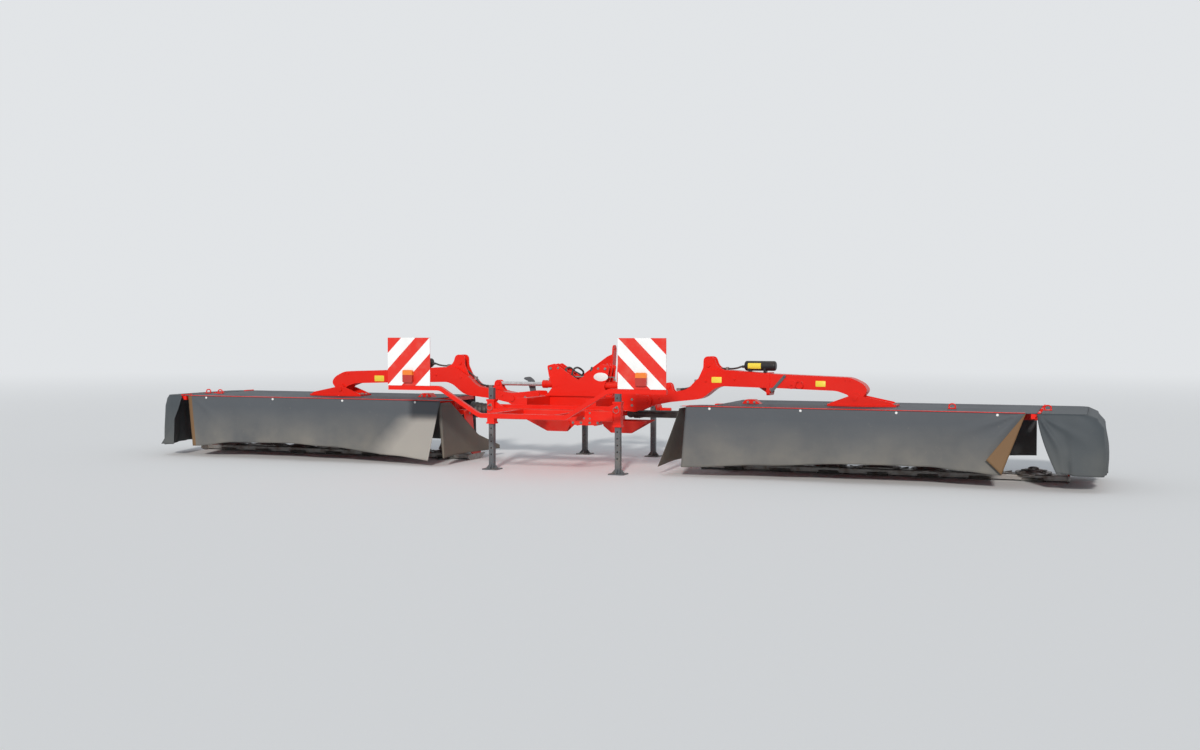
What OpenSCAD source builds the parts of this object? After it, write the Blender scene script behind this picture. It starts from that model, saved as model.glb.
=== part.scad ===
// Rear-mounted twin-wing disc mower, parked on its legs with both wings down.
// Millimetres. +X is the right side seen from behind, +Y is forward, +Z is up,
// and z = 0 is the floor under the skids and the parking legs.
// Each piece of a wing is drawn for the right side and mirrored for the left.

/* [Overall] */
// Length from the tail lamps to the nose of the hitch plates
machine_length = 2550; // [2300:10:2800]

/* [Cutting unit] */
// Number of discs in each cutter bar
disc_count = 7; // [5:1:8]
// Distance between neighbouring disc axes
disc_pitch = 435; // [410:5:470]
// Innermost disc axis, measured from the centre line
disc_first_x = 1485; // [1440:5:1560]
// Radius swept by the knife tips
knife_reach = 260; // [240:2:270]
// Top of the cover sheet above the floor
cover_top_z = 622; // [600:2:660]
// Cover's inner edge, measured inward from the first disc axis
cover_in = 305; // [270:5:340]
// Cover's outer edge, measured outward from the last disc axis
cover_out = 55; // [40:5:90]
// Reach of an outer flap beyond the cover's edge
flap_reach = 350; // [300:5:400]

/* [Arms] */
// Fold pivot, measured from the centre line
fold_x = 680; // [660:5:720]
// Fold pivot height
fold_z = 625; // [610:1:640]
// Width of the arm box along the machine
arm_w = 160; // [140:2:164]
// Pendulum pivot, measured from the centre line
pend_x = 2615; // [2500:5:2720]
// Pendulum pivot above the cover
pend_rise = 68; // [62:1:80]

/* [Hitch] */
// Distance between the two lower link balls
hitch_span = 965; // [870:5:1080]
// Lower pin height
hitch_z = 480; // [450:5:500]
// Top link bore above the lower pins
mast_height = 610; // [560:5:680]
// Diameter of the lower pins
lower_pin_d = 36.6; // [28:0.1:50]
// Diameter of the top link bore
top_bore_d = 31.75; // [25:0.05:45]
// Diameter of the drive input stub
pto_d = 34.9; // [34:0.1:45]

/* [Parking legs] */
// Side of the square leg tube
leg_side = 48; // [40:1:60]
// Length of a leg
leg_len = 756; // [700:2:850]

/* [Warning boards] */
// Side of a warning board
board_side = 423; // [400:1:500]
// Board centre from the centre line
board_x = 1090; // [1050:5:1150]
// Lower edge of the boards
board_z = 796; // [760:2:850]

/* [Hidden] */
$fn = 48;
y_front = machine_length / 2;
y_rear = -machine_length / 2;
cover_inner_x = disc_first_x - cover_in;
cover_outer_x = disc_first_x + (disc_count - 1) * disc_pitch + cover_out;
half_w = cover_outer_x + flap_reach;
pend_z = cover_top_z + pend_rise;
head_y = y_front - 235;           // rear face of the headstock

// colours
red = [0.75, 0.05, 0.04];
black = [0.07, 0.07, 0.08];
sheet_grey = [0.16, 0.17, 0.18];
steel = [0.55, 0.56, 0.57];
leg_grey = [0.36, 0.38, 0.40];

// fore-and-aft places
arm_y = 150;                      // middle plane of the arms and the pivot beam
bar_y = 300;                      // row of disc axes
shaft_y = 345;                    // drive shafts
cover_rear_y = -483;
cover_front_y = 745;
cross_y = -530;                   // middle of the rear crossbeam
hinge_x = cover_outer_x + 16;     // hinge line of the outer flap
hinge_z = cover_top_z - 3;
// stretches of the flap's hinge line, from y to y + length
HINGE = [[-440, 90], [80, 100], [610, 90]];
lamp_t = 30;                      // depth of the tail lamps
board_y = y_rear + lamp_t;        // rear face of the warning boards

// lock pin of the arm, outward from and above the fold pivot
lock_out = 150;
lock_rise = 58;
lock_d = 26;

// heights
shaft_z = 490;
rail_z0 = 560;
rail_z1 = 660;
tower_top = 968;                  // ends of the V plates
tower_notch = 815;                // bottom of the V
curtain_t = 8;
sheet_t = 6;

// fold cylinder, drawn flat from its base pin to the arm's lug
cyl_base_x = -220;
cyl_z = fold_z + 140;
cyl_eye_x = fold_x + 210;
cyl_y = arm_y - 46;
rod_len = 600;

// drive shaft joints
shaft_in_x = 440;
shaft_out_x = disc_first_x - 223;

rear_leg_x = 620;
front_leg_x = hitch_span / 2 - 107.5;
front_leg_y = head_y + 135;
disc_z = 70;
bar_x0 = disc_first_x - 295;
bay_x = disc_first_x - 55;        // the cover is open over the drive shaft up to here
bar_x1 = cover_outer_x - cover_out + 295;
flange_x = 1835;                  // joint face of the two arm pieces
beam_z = cover_top_z - 10;        // top of the beam under the cover
link_z = 500;                     // top of the unit's inner end, under the arm
spring_x = 1670;                  // spring bracket
flap_t = 0.3;                     // clearance of the flap's cloth from its frame

DISCS = [for (i = [1:disc_count]) i];

// building blocks

module block(x0, x1, y0, y1, z0, z1)
  translate([x0, y0, z0]) cube([x1 - x0, y1 - y0, z1 - z0]);

// a plate whose outline is in X and Z, y0 to y0 + t
module plate_xz(y0, t)
  translate([0, y0 + t, 0]) rotate([90, 0, 0]) linear_extrude(t) children();

// a plate whose outline is in Y and Z, x0 to x0 + t
module plate_yz(x0, t)
  translate([x0, 0, 0]) rotate([90, 0, 90]) linear_extrude(t) children();

// an outline of corners [x, z, radius], each rounded as far as its two edges allow
function rounded(pts, n = 5) =
  [for (i = [0:len(pts) - 1])
     let (c = pts[i], p = [c[0], c[1]], r = len(c) > 2 ? c[2] : 0,
          a = pts[(i + len(pts) - 1) % len(pts)], b = pts[(i + 1) % len(pts)],
          u = [a[0], a[1]] - p, v = [b[0], b[1]] - p,
          uu = u / norm(u), vv = v / norm(v),
          half = acos(uu * vv) / 2,
          reach = min(r / tan(half), 0.45 * min(norm(u), norm(v))),
          mid = p + (uu + vv) / norm(uu + vv) * reach / cos(half),
          s = p + uu * reach - mid, e = p + vv * reach - mid, turn = 180 - 2 * half)
       each (r == 0 ? [p] : [for (j = [0:n]) let (t = j / n * turn)
                               mid + (sin(turn - t) * s + sin(t) * e) / sin(turn)])];

// an outline whose first corner is on the centre line, joined to its mirror image in X
function both(pts) =
  concat(pts, [for (i = [len(pts) - 1:-1:1]) let (c = pts[i]) [-c[0], c[1], len(c) > 2 ? c[2] : 0]]);

module rod_x(x0, x1, y, z, d)
  translate([x0, y, z]) rotate([0, 90, 0]) cylinder(h = x1 - x0, d = d);
module rod_y(y0, y1, x, z, d)
  translate([x, y1, z]) rotate([90, 0, 0]) cylinder(h = y1 - y0, d = d);
module rod_z(z0, z1, x, y, d)
  translate([x, y, z0]) cylinder(h = z1 - z0, d = d);

// the square passage of a parking leg, 0.3 mm clear of it all round
module leg_hole(x, y)
  block(x - leg_side / 2 - 0.3, x + leg_side / 2 + 0.3, y - leg_side / 2 - 0.3,
        y + leg_side / 2 + 0.3, 0, 1000);

// draws its children on the right, or mirrored on the left
module on(side) {
  if (side == "right") children();
  else mirror([1, 0, 0]) children();
}

// hitch and centre frame

module headstock() {
  pin_y = y_front - 50;
  pin_x = hitch_span / 2;
  color(red) union() {
    block(12 - pin_x, pin_x - 12, head_y, head_y + 100, 640, 740);
    for (side = ["right", "left"]) on(side) {
      // lower link plate, with its pin standing out sideways
      plate_yz(pin_x - 65, 20) union() {
        polygon(rounded([[head_y, 600, 30], [head_y, 780, 15], [head_y + 100, 780, 40],
                         [head_y + 150, 600, 80], [pin_y + 10, hitch_z + 48, 40], [pin_y + 46, hitch_z],
                         [pin_y, hitch_z - 46], [head_y + 110, hitch_z - 20, 60]]));
        translate([pin_y, hitch_z]) circle(r = 50);
      }
      rod_x(pin_x - 65, pin_x - 37, pin_y, hitch_z, 62);
      rod_x(pin_x - 45, pin_x + 65, pin_y, hitch_z, lower_pin_d);
      // sleeve for the front leg
      difference() {
        block(front_leg_x - leg_side / 2 - 11, front_leg_x + leg_side / 2 + 11, head_y + 100,
              front_leg_y + leg_side / 2 + 11, 600, 790);
        leg_hole(front_leg_x, front_leg_y);
      }
    }
  }
}

// two plates with the top link bore, standing on the beam
module mast() {
  top_y = head_y + 100;
  top_z = hitch_z + mast_height;
  color(red) for (side = ["right", "left"]) on(side) difference() {
    plate_yz(27, 16) union() {
      polygon(rounded([[head_y, 740], [head_y + 100, 740], [head_y + 112, 860, 60], [top_y + 45, top_z - 8],
                       [top_y - 44, top_z], [head_y, 820, 60]]));
      translate([top_y, top_z]) circle(r = 46);
    }
    rod_x(0, 60, top_y, top_z, top_bore_d);
  }
}

// braces from the mast down to the ends of the beam
module mast_braces() {
  top_z = hitch_z + mast_height;
  end_x = hitch_span / 2 - 65;
  color(red) for (side = ["right", "left"]) on(side) plate_xz(head_y + 42, 14)
    polygon(rounded([[43, top_z - 150], [43, top_z - 50], [90, top_z - 70, 30], [end_x, 790, 25],
                     [end_x, 740],
                     [end_x - 80, 740]]));
}

module main_frame() {
  color(red) union() {
    // pivot beam
    block(-530, 530, 80, 220, rail_z0, rail_z1);
    for (side = ["right", "left"]) on(side) {
      // rail from the rear crossbeam to the headstock
      block(300, 380, cross_y + 62, head_y, rail_z0, rail_z1);
      block(290, 390, cross_y + 50, cross_y + 62, 488, rail_z1 + 4);
      // cheeks of the fold pivot
      for (y = [45, 240]) difference() {
        plate_xz(y, 15) union() {
          polygon(rounded([[400, rail_z0 - 20, 20], [400, rail_z1 + 40, 20], [500, rail_z1 + 40, 60],
                           [fold_x + 20, fold_z + 52], [fold_x, fold_z - 55],
                           [fold_x - 100, rail_z0 - 35, 50]]));
          translate([fold_x, fold_z]) circle(r = 56);
        }
      }
      block(400, 500, 60, 80, rail_z0, rail_z1);
      block(400, 500, 220, 240, rail_z0, rail_z1);
      rod_y(30, 255.5, fold_x, fold_z, 50);
    }
  }
}

// three V plates on the pivot beam, with the two base pins of the fold cylinders low in them
module fold_tower() {
  color(red) union() {
    block(cyl_base_x - 120, 120 - cyl_base_x, 52, 248, rail_z1, rail_z1 + 12);
    for (y = [52, 145, 238]) plate_xz(y, 10)
      polygon(rounded(both([[0, tower_notch], [20 - cyl_base_x, tower_top, 18],
                            [98 - cyl_base_x, tower_top - 20, 18], [80 - cyl_base_x, cyl_z + 85, 40],
                            [42 - cyl_base_x, cyl_z - 20, 30], [110 - cyl_base_x, rail_z1]])));
    for (x = [cyl_base_x - 58, 58 - cyl_base_x]) {
      rod_y(44, 256, x, tower_top - 45, 24);
      rod_y(62, 145, x, tower_top - 45, 40);
      rod_y(155, 238, x, tower_top - 45, 40);
    }
    rod_y(48, 155, cyl_base_x, cyl_z, 30);
    rod_y(145, 252, -cyl_base_x, cyl_z, 30);
  }
}

module rear_crossbeam() {
  color(red) union() {
    plate_yz(34 - rear_leg_x, 2 * rear_leg_x - 68)
      polygon(rounded([[cross_y - 50, 472, 10], [cross_y - 50, 566, 10], [cross_y + 38, 566, 8],
                       [cross_y + 38, 603], [cross_y + 50, 603], [cross_y + 50, 472, 10]], 3));
    for (side = ["right", "left"]) on(side) difference() {
      union() {
        block(rear_leg_x - 35, rear_leg_x + 35, cross_y - 35, cross_y + 35, 424, 650);
        // collar and gussets of the leg's sleeve
        block(rear_leg_x - 41, rear_leg_x + 41, cross_y - 41, cross_y + 41, 632, 650);
        block(rear_leg_x - 41, rear_leg_x + 41, cross_y - 41, cross_y + 41, 424, 440);
        plate_xz(cross_y - 8, 16)
          polygon([[rear_leg_x - 36, 632], [rear_leg_x - 36, 560], [rear_leg_x - 150, 560]]);
      }
      leg_hole(rear_leg_x, cross_y);
    }
  }
}

module board_carrier() {
  tube = 40;
  low = 545;
  high = board_z - 20;
  y = board_y + 25;
  // middle line of the tube, [x, z, radius of the bend]
  CARRIER = [[-1300, high, 0], [-790, high, 90], [-405, low, 90], [405, low, 90], [790, high, 90], [1300, high, 0]];

  color(red) union() {
    // one tube, low across the middle and raised under the boards
    plate_xz(y - tube / 2, tube)
      polygon(rounded(concat([for (p = CARRIER) p - [0, tube / 2, 0]],
                             [for (i = [len(CARRIER) - 1:-1:0]) CARRIER[i] + [0, tube / 2, 0]])));
    for (side = ["right", "left"]) on(side) {
      block(280, 320, y + tube / 2, cross_y - 50, low - tube / 2, low + tube / 2);
      // posts behind the board
      for (x = [board_x - 120, board_x + 100])
        block(x, x + 20, board_y + 5, board_y + 25, high, board_z + 300);
    }
  }
}

module warning_boards() {
  color("white") for (side = ["right", "left"]) on(side)
    block(board_x - board_side / 2, board_x + board_side / 2, board_y, board_y + 5,
          board_z, board_z + board_side);
}

module tail_lamps() {
  color([0.6, 0.1, 0.05]) for (side = ["right", "left"]) on(side)
    difference() {
      plate_xz(y_rear, lamp_t)
        polygon(rounded([[board_x - 48, board_z + 28, 12], [board_x + 48, board_z + 28, 12],
                         [board_x + 48, board_z + 138, 12], [board_x - 48, board_z + 138, 12]]));
      // groove between the two lenses
      block(board_x - 60, board_x + 60, y_rear - 1, y_rear + 3, board_z + 92, board_z + 95);
    }
}

module center_gearbox() {
  color(red) union() {
    // housing with cast ribs
    plate_xz(240, 215)
      polygon(rounded([[-140, 380, 35], [-140, 596, 20], [140, 596, 20], [140, 380, 35]]));
    for (x = [-90, 0, 90]) block(x - 5, x + 5, 250, 445, 366, 385);
    for (y = [240, 445]) plate_xz(y, 10)
      polygon(rounded([[-152, 372, 40], [-152, 604, 25], [152, 604, 25], [152, 372, 40]]));
    // side outputs with their bearing caps
    rod_x(-300, 300, shaft_y, shaft_z, 96);
    for (side = ["right", "left"]) on(side) {
      rod_x(138, 168, shaft_y, shaft_z, 168);
      rod_x(282, 300, shaft_y, shaft_z, 128);
    }
    rod_x(38.3 - shaft_in_x, shaft_in_x - 38.3, shaft_y, shaft_z, 45);
    // neck of the drive input
    rod_y(455, 480, 0, shaft_z, 150);
    rod_y(480, 900, 0, shaft_z, 90);
    rod_y(880, 900, 0, shaft_z, 116);
    rod_y(900, 1010, 0, shaft_z, pto_d);
    // hangers up to the pivot beam
    for (x = [-120, 100]) plate_yz(x, 20)
      polygon(rounded([[100, 520, 20], [100, rail_z0], [240, rail_z0], [240, 430], [200, 450, 40]]));
  }
}

module transport_hooks() {
  // the lock pin comes to rest here when the arm is up
  cx = fold_x - lock_rise;
  cz = fold_z + lock_out;
  color(leg_grey) for (side = ["right", "left"]) on(side)
    plate_xz(255, 14) difference() {
      polygon(rounded([[425, 562, 12], [425, 640, 25], [cx - 92, cz - 95, 60], [cx - 84, cz + 20, 60],
                       [cx - 34, cz + 58, 40], [cx + 26, cz + 50, 16], [cx + 40, cz + 12, 10],
                       [cx - 20, cz - 30, 14], [cx - 36, cz - 80, 60], [cx - 20, 612, 40],
                       [cx - 6, 562, 12]]));
      translate([cx, cz]) rotate(24) union() {
        circle(d = lock_d + 10);
        translate([0, -lock_d / 2 - 5]) square([120, lock_d + 10]);
      }
    }
}

// V troughs under the inner joints of the drive shafts, their outer ends cut on the slant
module shaft_guards() {
  t = 5;
  keel = 300;
  color(red) for (side = ["right", "left"]) on(side) {
    difference() {
      plate_yz(175, 465)
        polygon([[shaft_y - 120, 425], [shaft_y - 14, keel], [shaft_y + 14, keel], [shaft_y + 120, 425],
                 [shaft_y + 120 - 1.4 * t, 425], [shaft_y + 12, keel + t], [shaft_y - 12, keel + t],
                 [shaft_y - 120 + 1.4 * t, 425]]);
      plate_xz(shaft_y - 130, 260) polygon([[430, keel - 5], [660, 440], [660, keel - 5]]);
      plate_xz(shaft_y - 130, 260) polygon([[165, keel - 5], [165, 380], [235, keel - 5]]);
    }
    // hangers from the rail
    difference() {
      plate_yz(318, 12)
        polygon(rounded([[shaft_y - 113, 420], [shaft_y - 90, rail_z0], [shaft_y + 90, rail_z0],
                         [shaft_y + 113, 420], [shaft_y + 12, keel + 2], [shaft_y - 12, keel + 2]]));
      rod_x(300, 340, shaft_y, shaft_z, 130);
    }
  }
}

// arm, drawn in two pieces that meet at the flange

FLANGE = [for (p = [[60, 10], [60, 215], [240, 215], [240, 10]]) [p[0], pend_z + p[1], 18]];

module arm_inner(eye_y) {
  // underside of the knee
  knee_x = 1331;
  knee_z = pend_z + 60;
  end_x = flange_x - 15;
  color(red) union() {
    difference() {
      plate_xz(arm_y - arm_w / 2, arm_w) union() {
        translate([fold_x, fold_z]) circle(r = 50);
        polygon(rounded([[fold_x, fold_z - 50], [fold_x + 220, fold_z - 5, 200],
                         [knee_x - 119, knee_z - 95, 200],
                         [knee_x, knee_z, 160], [knee_x + 67, knee_z + 26, 160], [end_x, knee_z + 16],
                         [end_x, knee_z + 148], [knee_x + 184, knee_z + 169, 200],
                         [knee_x - 25, knee_z + 175, 160], [knee_x - 169, knee_z + 80, 200],
                         [knee_x - 255, knee_z - 10, 200], [fold_x, fold_z + 50]]));
      }
      // pin hole, and the pocket in which the rod's eye swings
      rod_y(0, 300, fold_x, fold_z, 50.6);
      block(fold_x + 90, fold_x + 280, eye_y - 23, eye_y + 23, fold_z + 64, fold_z + 190);
    }
    // lug above the knee
    for (y = [100, 188]) plate_xz(y, 12) difference() {
      polygon(rounded([[knee_x - 165, knee_z + 80], [knee_x - 112, knee_z + 190, 90],
                       [knee_x - 108, knee_z + 296, 42],
                       [knee_x - 12, knee_z + 296, 42], [knee_x + 20, knee_z + 205, 80],
                       [knee_x + 110, knee_z + 165],
                       [knee_x - 31, knee_z + 150]]));
      translate([knee_x - 61, knee_z + 210]) circle(d = 30);
    }
    // lug for the fold rod's eye, with the heads of its pin
    for (y = [eye_y - 33, eye_y + 23]) plate_xz(y, 10) union() {
      polygon(rounded([[cyl_eye_x - 95, fold_z + 50], [cyl_eye_x - 48, cyl_z - 40, 60],
                       [cyl_eye_x - 35, cyl_z + 8],
                       [cyl_eye_x + 35, cyl_z + 8], [cyl_eye_x + 48, cyl_z - 40, 60],
                       [cyl_eye_x + 95, fold_z + 80]]));
      translate([cyl_eye_x, cyl_z]) circle(r = 36);
    }
    rod_y(eye_y - 43, eye_y - 23, cyl_eye_x, cyl_z, 44);
    rod_y(eye_y + 23, eye_y + 43, cyl_eye_x, cyl_z, 44);
    // lock pin that the transport hook catches
    rod_y(arm_y + arm_w / 2, 280, fold_x + lock_out, fold_z + lock_rise, lock_d);
    // flange, with its gusset
    plate_yz(end_x, 15)
      polygon(rounded(FLANGE, 3));
    plate_xz(arm_y - 6, 12)
      polygon([[end_x + 1, knee_z + 17], [end_x + 1, pend_z + 18], [end_x - 90, knee_z + 17]]);
  }
}

module arm_outer() {
  color(red) union() {
    plate_yz(flange_x, 15)
      polygon(rounded(FLANGE, 3));
    difference() {
      plate_xz(arm_y - arm_w / 2, arm_w) union() {
        polygon(rounded([[flange_x + 15, pend_z + 78], [pend_x - 165, pend_z + 59, 200],
                         [pend_x - 62, pend_z + 24, 90],
                         [pend_x - 38, pend_z - 24], [pend_x, pend_z - 44], [pend_x + 35, pend_z - 28],
                         [pend_x + 112, pend_z + 67, 90], [pend_x + 69, pend_z + 125, 160],
                         [pend_x - 39, pend_z + 178, 220], [flange_x + 15, pend_z + 203]]));
        translate([pend_x, pend_z]) circle(r = 44);
      }
      rod_y(0, 300, pend_x, pend_z, 46.6);
    }
    rod_y(60, 240, flange_x + 213, pend_z + 110, 80);
  }
}

module accumulator() {
  color(black) union() {
    translate([flange_x - 235, arm_y, pend_z + 272]) rotate([0, 90, 0])
      rotate_extrude() polygon(rounded([[0, 0], [45, 0, 38], [45, 290, 38], [0, 290]], 6));
    block(flange_x - 195, flange_x - 175, arm_y - 40, arm_y + 40, pend_z + 221, pend_z + 260);
    block(flange_x - 55, flange_x - 35, arm_y - 40, arm_y + 40, pend_z + 211.5, pend_z + 260);
  }
}

module fold_cylinder() {
  mouth = cyl_eye_x - 470;
  color(red) difference() {
    union() {
      rod_y(cyl_y - 28, cyl_y + 28, cyl_base_x, cyl_z, 60);
      rod_x(cyl_base_x, mouth, cyl_y, cyl_z, 70);
      // gland and base collar
      rod_x(mouth - 45, mouth, cyl_y, cyl_z, 78);
      rod_x(cyl_base_x + 50, cyl_base_x + 70, cyl_y, cyl_z, 76);
      // ports
      for (x = [cyl_base_x + 85, mouth - 70]) rod_z(cyl_z, cyl_z + 46, x, cyl_y, 24);
    }
    rod_y(cyl_y - 60, cyl_y + 60, cyl_base_x, cyl_z, 30.4);
    rod_x(cyl_base_x + 60, mouth - 40, cyl_y, cyl_z, 50);
    rod_x(mouth - 50, mouth + 70, cyl_y, cyl_z, 40.6);
  }
}

module fold_rod() {
  color(steel) difference() {
    union() {
      rod_x(cyl_eye_x - rod_len, cyl_eye_x, cyl_y, cyl_z, 40);
      rod_y(cyl_y - 20, cyl_y + 20, cyl_eye_x, cyl_z, 56);
    }
    rod_y(cyl_y - 60, cyl_y + 60, cyl_eye_x, cyl_z, 30);
  }
}

// cutting unit

module unit_frame() {
  color(red) union() {
    // beam under the cover
    block(disc_first_x - 155, cover_outer_x - 10, 100, 200, beam_z - 82, beam_z);
    // cross tubes that carry the cover
    for (x = [disc_first_x - 45, pend_x - 515, pend_x + 585, cover_outer_x - 45])
      block(x, x + 35, cover_rear_y + 5, cover_front_y - 5, cover_top_z - 46, cover_top_z - sheet_t);
    // foot plates and their base, in the cover's window
    block(pend_x - 243, pend_x + 355, 45, 255, beam_z, pend_z - 54);
    for (y = [50, 236]) plate_xz(y, 14) union() {
      polygon(rounded([[pend_x - 230, pend_z - 54], [pend_x - 205, pend_z - 40, 20],
                       [pend_x - 46, pend_z + 20],
                       [pend_x + 46, pend_z + 20], [pend_x + 310, pend_z - 34, 30],
                       [pend_x + 340, pend_z - 54]]));
      translate([pend_x, pend_z]) circle(r = 50);
    }
    rod_y(40, 260, pend_x, pend_z, 46);
    // bracket on the beam for the springs, in its own window
    plate_xz(100, 100) polygon(rounded([[spring_x - 90, beam_z], [spring_x - 50, beam_z + 46, 20],
                                        [spring_x + 30, beam_z + 46, 20], [spring_x + 90, beam_z]]));
    // hinge line of the outer flap
    for (h = HINGE) {
      rod_y(h[0] - 30, h[0] + h[1] + 30, hinge_x, hinge_z, 12);
      for (y = [h[0] - 30, h[0] + h[1] + 10]) {
        rod_y(y, y + 20, hinge_x, hinge_z, 24);
        block(cover_outer_x - 20, hinge_x, y, y + 20, cover_top_z - 30, cover_top_z - sheet_t - 0.3);
      }
    }
    // bracket of the gearbox
    block(disc_first_x - 75, disc_first_x + 75, 200, 214, 420, beam_z);
    // inner end, low enough to pass under the arm, and its riser to the beam
    block(bar_x0, disc_first_x - 140, 100, 200, link_z - 40, link_z);
    block(disc_first_x - 155, disc_first_x - 140, 100, 200, link_z - 40, beam_z);
    plate_yz(bar_x0, 15)
      polygon(rounded([[40, link_z, 20], [200, link_z], [235, 290, 120], [392, 150, 60], [392, 58],
                       [215, 58],
                       [120, 130, 120]]));
    // outer end
    block(cover_outer_x - 10, bar_x1, 100, 200, beam_z - 82, beam_z - 52);
    plate_yz(bar_x1 - 15, 15)
      polygon(rounded([[40, beam_z - 52, 20], [200, beam_z - 52], [235, 290, 120], [392, 150, 60],
                       [392, 58],
                       [215, 58], [120, 130, 120]]));
  }
}

module cover() {
  color(sheet_grey) difference() {
    translate([0, 0, cover_top_z - sheet_t]) linear_extrude(sheet_t)
      polygon([[cover_inner_x, cover_rear_y], [cover_outer_x, cover_rear_y],
               [cover_outer_x, cover_front_y], [bay_x, cover_front_y], [bay_x, -200],
               [cover_inner_x, -200]]);
    block(pend_x - 244, pend_x + 356, 44, 256, cover_top_z - 20, cover_top_z + 20);
    block(spring_x - 92, spring_x + 92, 98, 202, cover_top_z - 20, cover_top_z + 20);
  }
}

// lower edge of a hanging curtain, as points from x0 to x1
function hem(x0, x1, z, wave, n) =
  [for (i = [0:n]) let (t = i / n) [x0 + (x1 - x0) * t, z + wave * sin(t * 900)]];

module curtains() {
  color(sheet_grey) union() {
    // rear
    plate_xz(cover_rear_y - curtain_t, curtain_t)
      polygon(concat([[cover_outer_x - 90, cover_top_z], [cover_inner_x, cover_top_z]],
                     hem(cover_inner_x, cover_outer_x - 300, 105, 25, 16)));
    // front
    plate_xz(cover_front_y, curtain_t)
      polygon(concat([[cover_outer_x - 50, cover_top_z], [bay_x, cover_top_z]],
                     hem(bay_x, cover_outer_x - 50, 170, 15, 12)));
    // inner, leaning inward, its top falling forward under the arm and the drive shaft
    translate([cover_inner_x, 0, 600]) rotate([0, 19, 0]) translate([-curtain_t, 0, -600])
      plate_yz(0, curtain_t)
        polygon([[cover_rear_y + 0.5, 90], [cover_rear_y + 0.5, cover_top_z - 22],
                 [-300, cover_top_z - 22], [shaft_y - 85, 250], [cover_front_y - 15, 110],
                 [cover_front_y - 15, 90]]);
  }
}

// knuckles and bent tube that carry the flap's cloth
module flap_frame() {
  x0 = hinge_x + 14;
  x1 = half_w - 130;
  z = cover_top_z - sheet_t - flap_t - 10;
  ya = cover_rear_y + 20;
  yb = cover_front_y - 20;
  color(red) union() {
    for (h = HINGE) difference() {
      union() {
        rod_y(h[0], h[0] + h[1], hinge_x, hinge_z, 24);
        block(hinge_x, x0 + 12, h[0] + 10, h[0] + h[1] - 10, z - 10, hinge_z - 3.5 - sheet_t);
      }
      rod_y(h[0] - 5, h[0] + h[1] + 20, hinge_x, hinge_z, 12.6);
    }
    // tube round the flap, open at its corners only by their bends
    translate([0, 0, z - 10]) linear_extrude(20) difference() {
      polygon(rounded([[x0 + 4, ya], [x1, ya, 90], [x1, yb, 90], [x0 + 4, yb]], 6));
      polygon(rounded([[x0 + 24, ya + 20], [x1 - 20, ya + 20, 70], [x1 - 20, yb - 20, 70],
                       [x0 + 24, yb - 20]], 6));
    }
    for (y = [HINGE[1][0] + 30]) block(x0 + 20, x1 - 16, y, y + 20, z - 10, z + 10);
  }
}

module outer_flap() {
  x0 = hinge_x + 14;
  // from the hinge over the round shoulder to the hem, and back inside it
  SKIRT = rounded([[x0, cover_top_z], [half_w - 85, cover_top_z, 55], [half_w - 28, cover_top_z - 140, 200],
                   [half_w, 160, 0], [half_w - 8, 160], [half_w - 36, cover_top_z - 140, 192],
                   [half_w - 93, cover_top_z - sheet_t, 48], [x0, cover_top_z - sheet_t]]);
  color(sheet_grey) union() {
    // top and outer side in one sheet
    plate_xz(cover_rear_y, cover_front_y - cover_rear_y) polygon(SKIRT);
    // rear and front corners
    plate_xz(cover_rear_y - curtain_t, curtain_t)
      polygon(rounded([[x0, cover_top_z], [half_w - 85, cover_top_z, 55],
                       [half_w - 28, cover_top_z - 140, 200],
                       [half_w, 160], [x0 + 150, 90, 10], [x0 + 50, 300, 200]]));
    plate_xz(cover_front_y, curtain_t)
      polygon(rounded([[x0, cover_top_z], [half_w - 85, cover_top_z, 55],
                       [half_w - 28, cover_top_z - 140, 200],
                       [half_w, 160], [x0 + 60, 160, 10]]));
  }
}

module cutter_bar() {
  color(steel) union() {
    plate_yz(bar_x0, bar_x1 - bar_x0)
      polygon(rounded([[205, 14], [395, 14, 20], [428, 36, 14], [398, 58, 30], [205, 58, 8]], 4));
    for (i = DISCS) let (x = disc_first_x + (i - 1) * disc_pitch) {
      // skid, turned up at the front into the stone guard and rounded in plan
      intersection() {
        plate_yz(x - 105, 210)
          polygon(rounded([[172, 30], [200, 3, 40], [240, 0], [385, 0, 90], [432, 10, 60], [470, 44],
                           [462, 50], [424, 20, 60], [395, 14], [205, 14], [180, 34]], 4));
        linear_extrude(60)
          polygon(rounded([[x - 80, 165], [x + 80, 165], [x + 105, 230, 60], [x + 105, 400, 120],
                           [x + 45, 475, 45], [x - 45, 475, 45], [x - 105, 400, 120],
                           [x - 105, 230, 60]], 4));
      }
    }
    // end shoes
    for (x = [bar_x0, bar_x1 - 15]) plate_yz(x, 15)
      polygon(rounded([[110, 58], [110, 24], [165, 1, 90], [400, 1, 120], [485, 50], [480, 58]]));
  }
}

module unit_gearbox() {
  color(red) union() {
    // housing under its bearing cap
    translate([0, 0, 400]) linear_extrude(160)
      polygon(rounded([[disc_first_x - 85, 214], [disc_first_x + 85, 214], [disc_first_x + 85, 386, 45],
                       [disc_first_x - 85, 386, 45]]));
    rod_z(400, 572, disc_first_x, bar_y, 120);
    rod_z(396, 404, disc_first_x, bar_y, 168);
    for (x = [disc_first_x - 60, disc_first_x + 50]) block(x, x + 10, 220, 330, 556, 566);
    // neck of the side input
    rod_x(shaft_out_x + 68, disc_first_x - 80, shaft_y, shaft_z, 96);
    rod_x(disc_first_x - 100, disc_first_x - 80, shaft_y, shaft_z, 128);
    rod_x(shaft_out_x + 68, shaft_out_x + 82, shaft_y, shaft_z, 116);
    rod_x(shaft_out_x + 28, shaft_out_x + 68, shaft_y, shaft_z, 35);
  }
}

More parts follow.
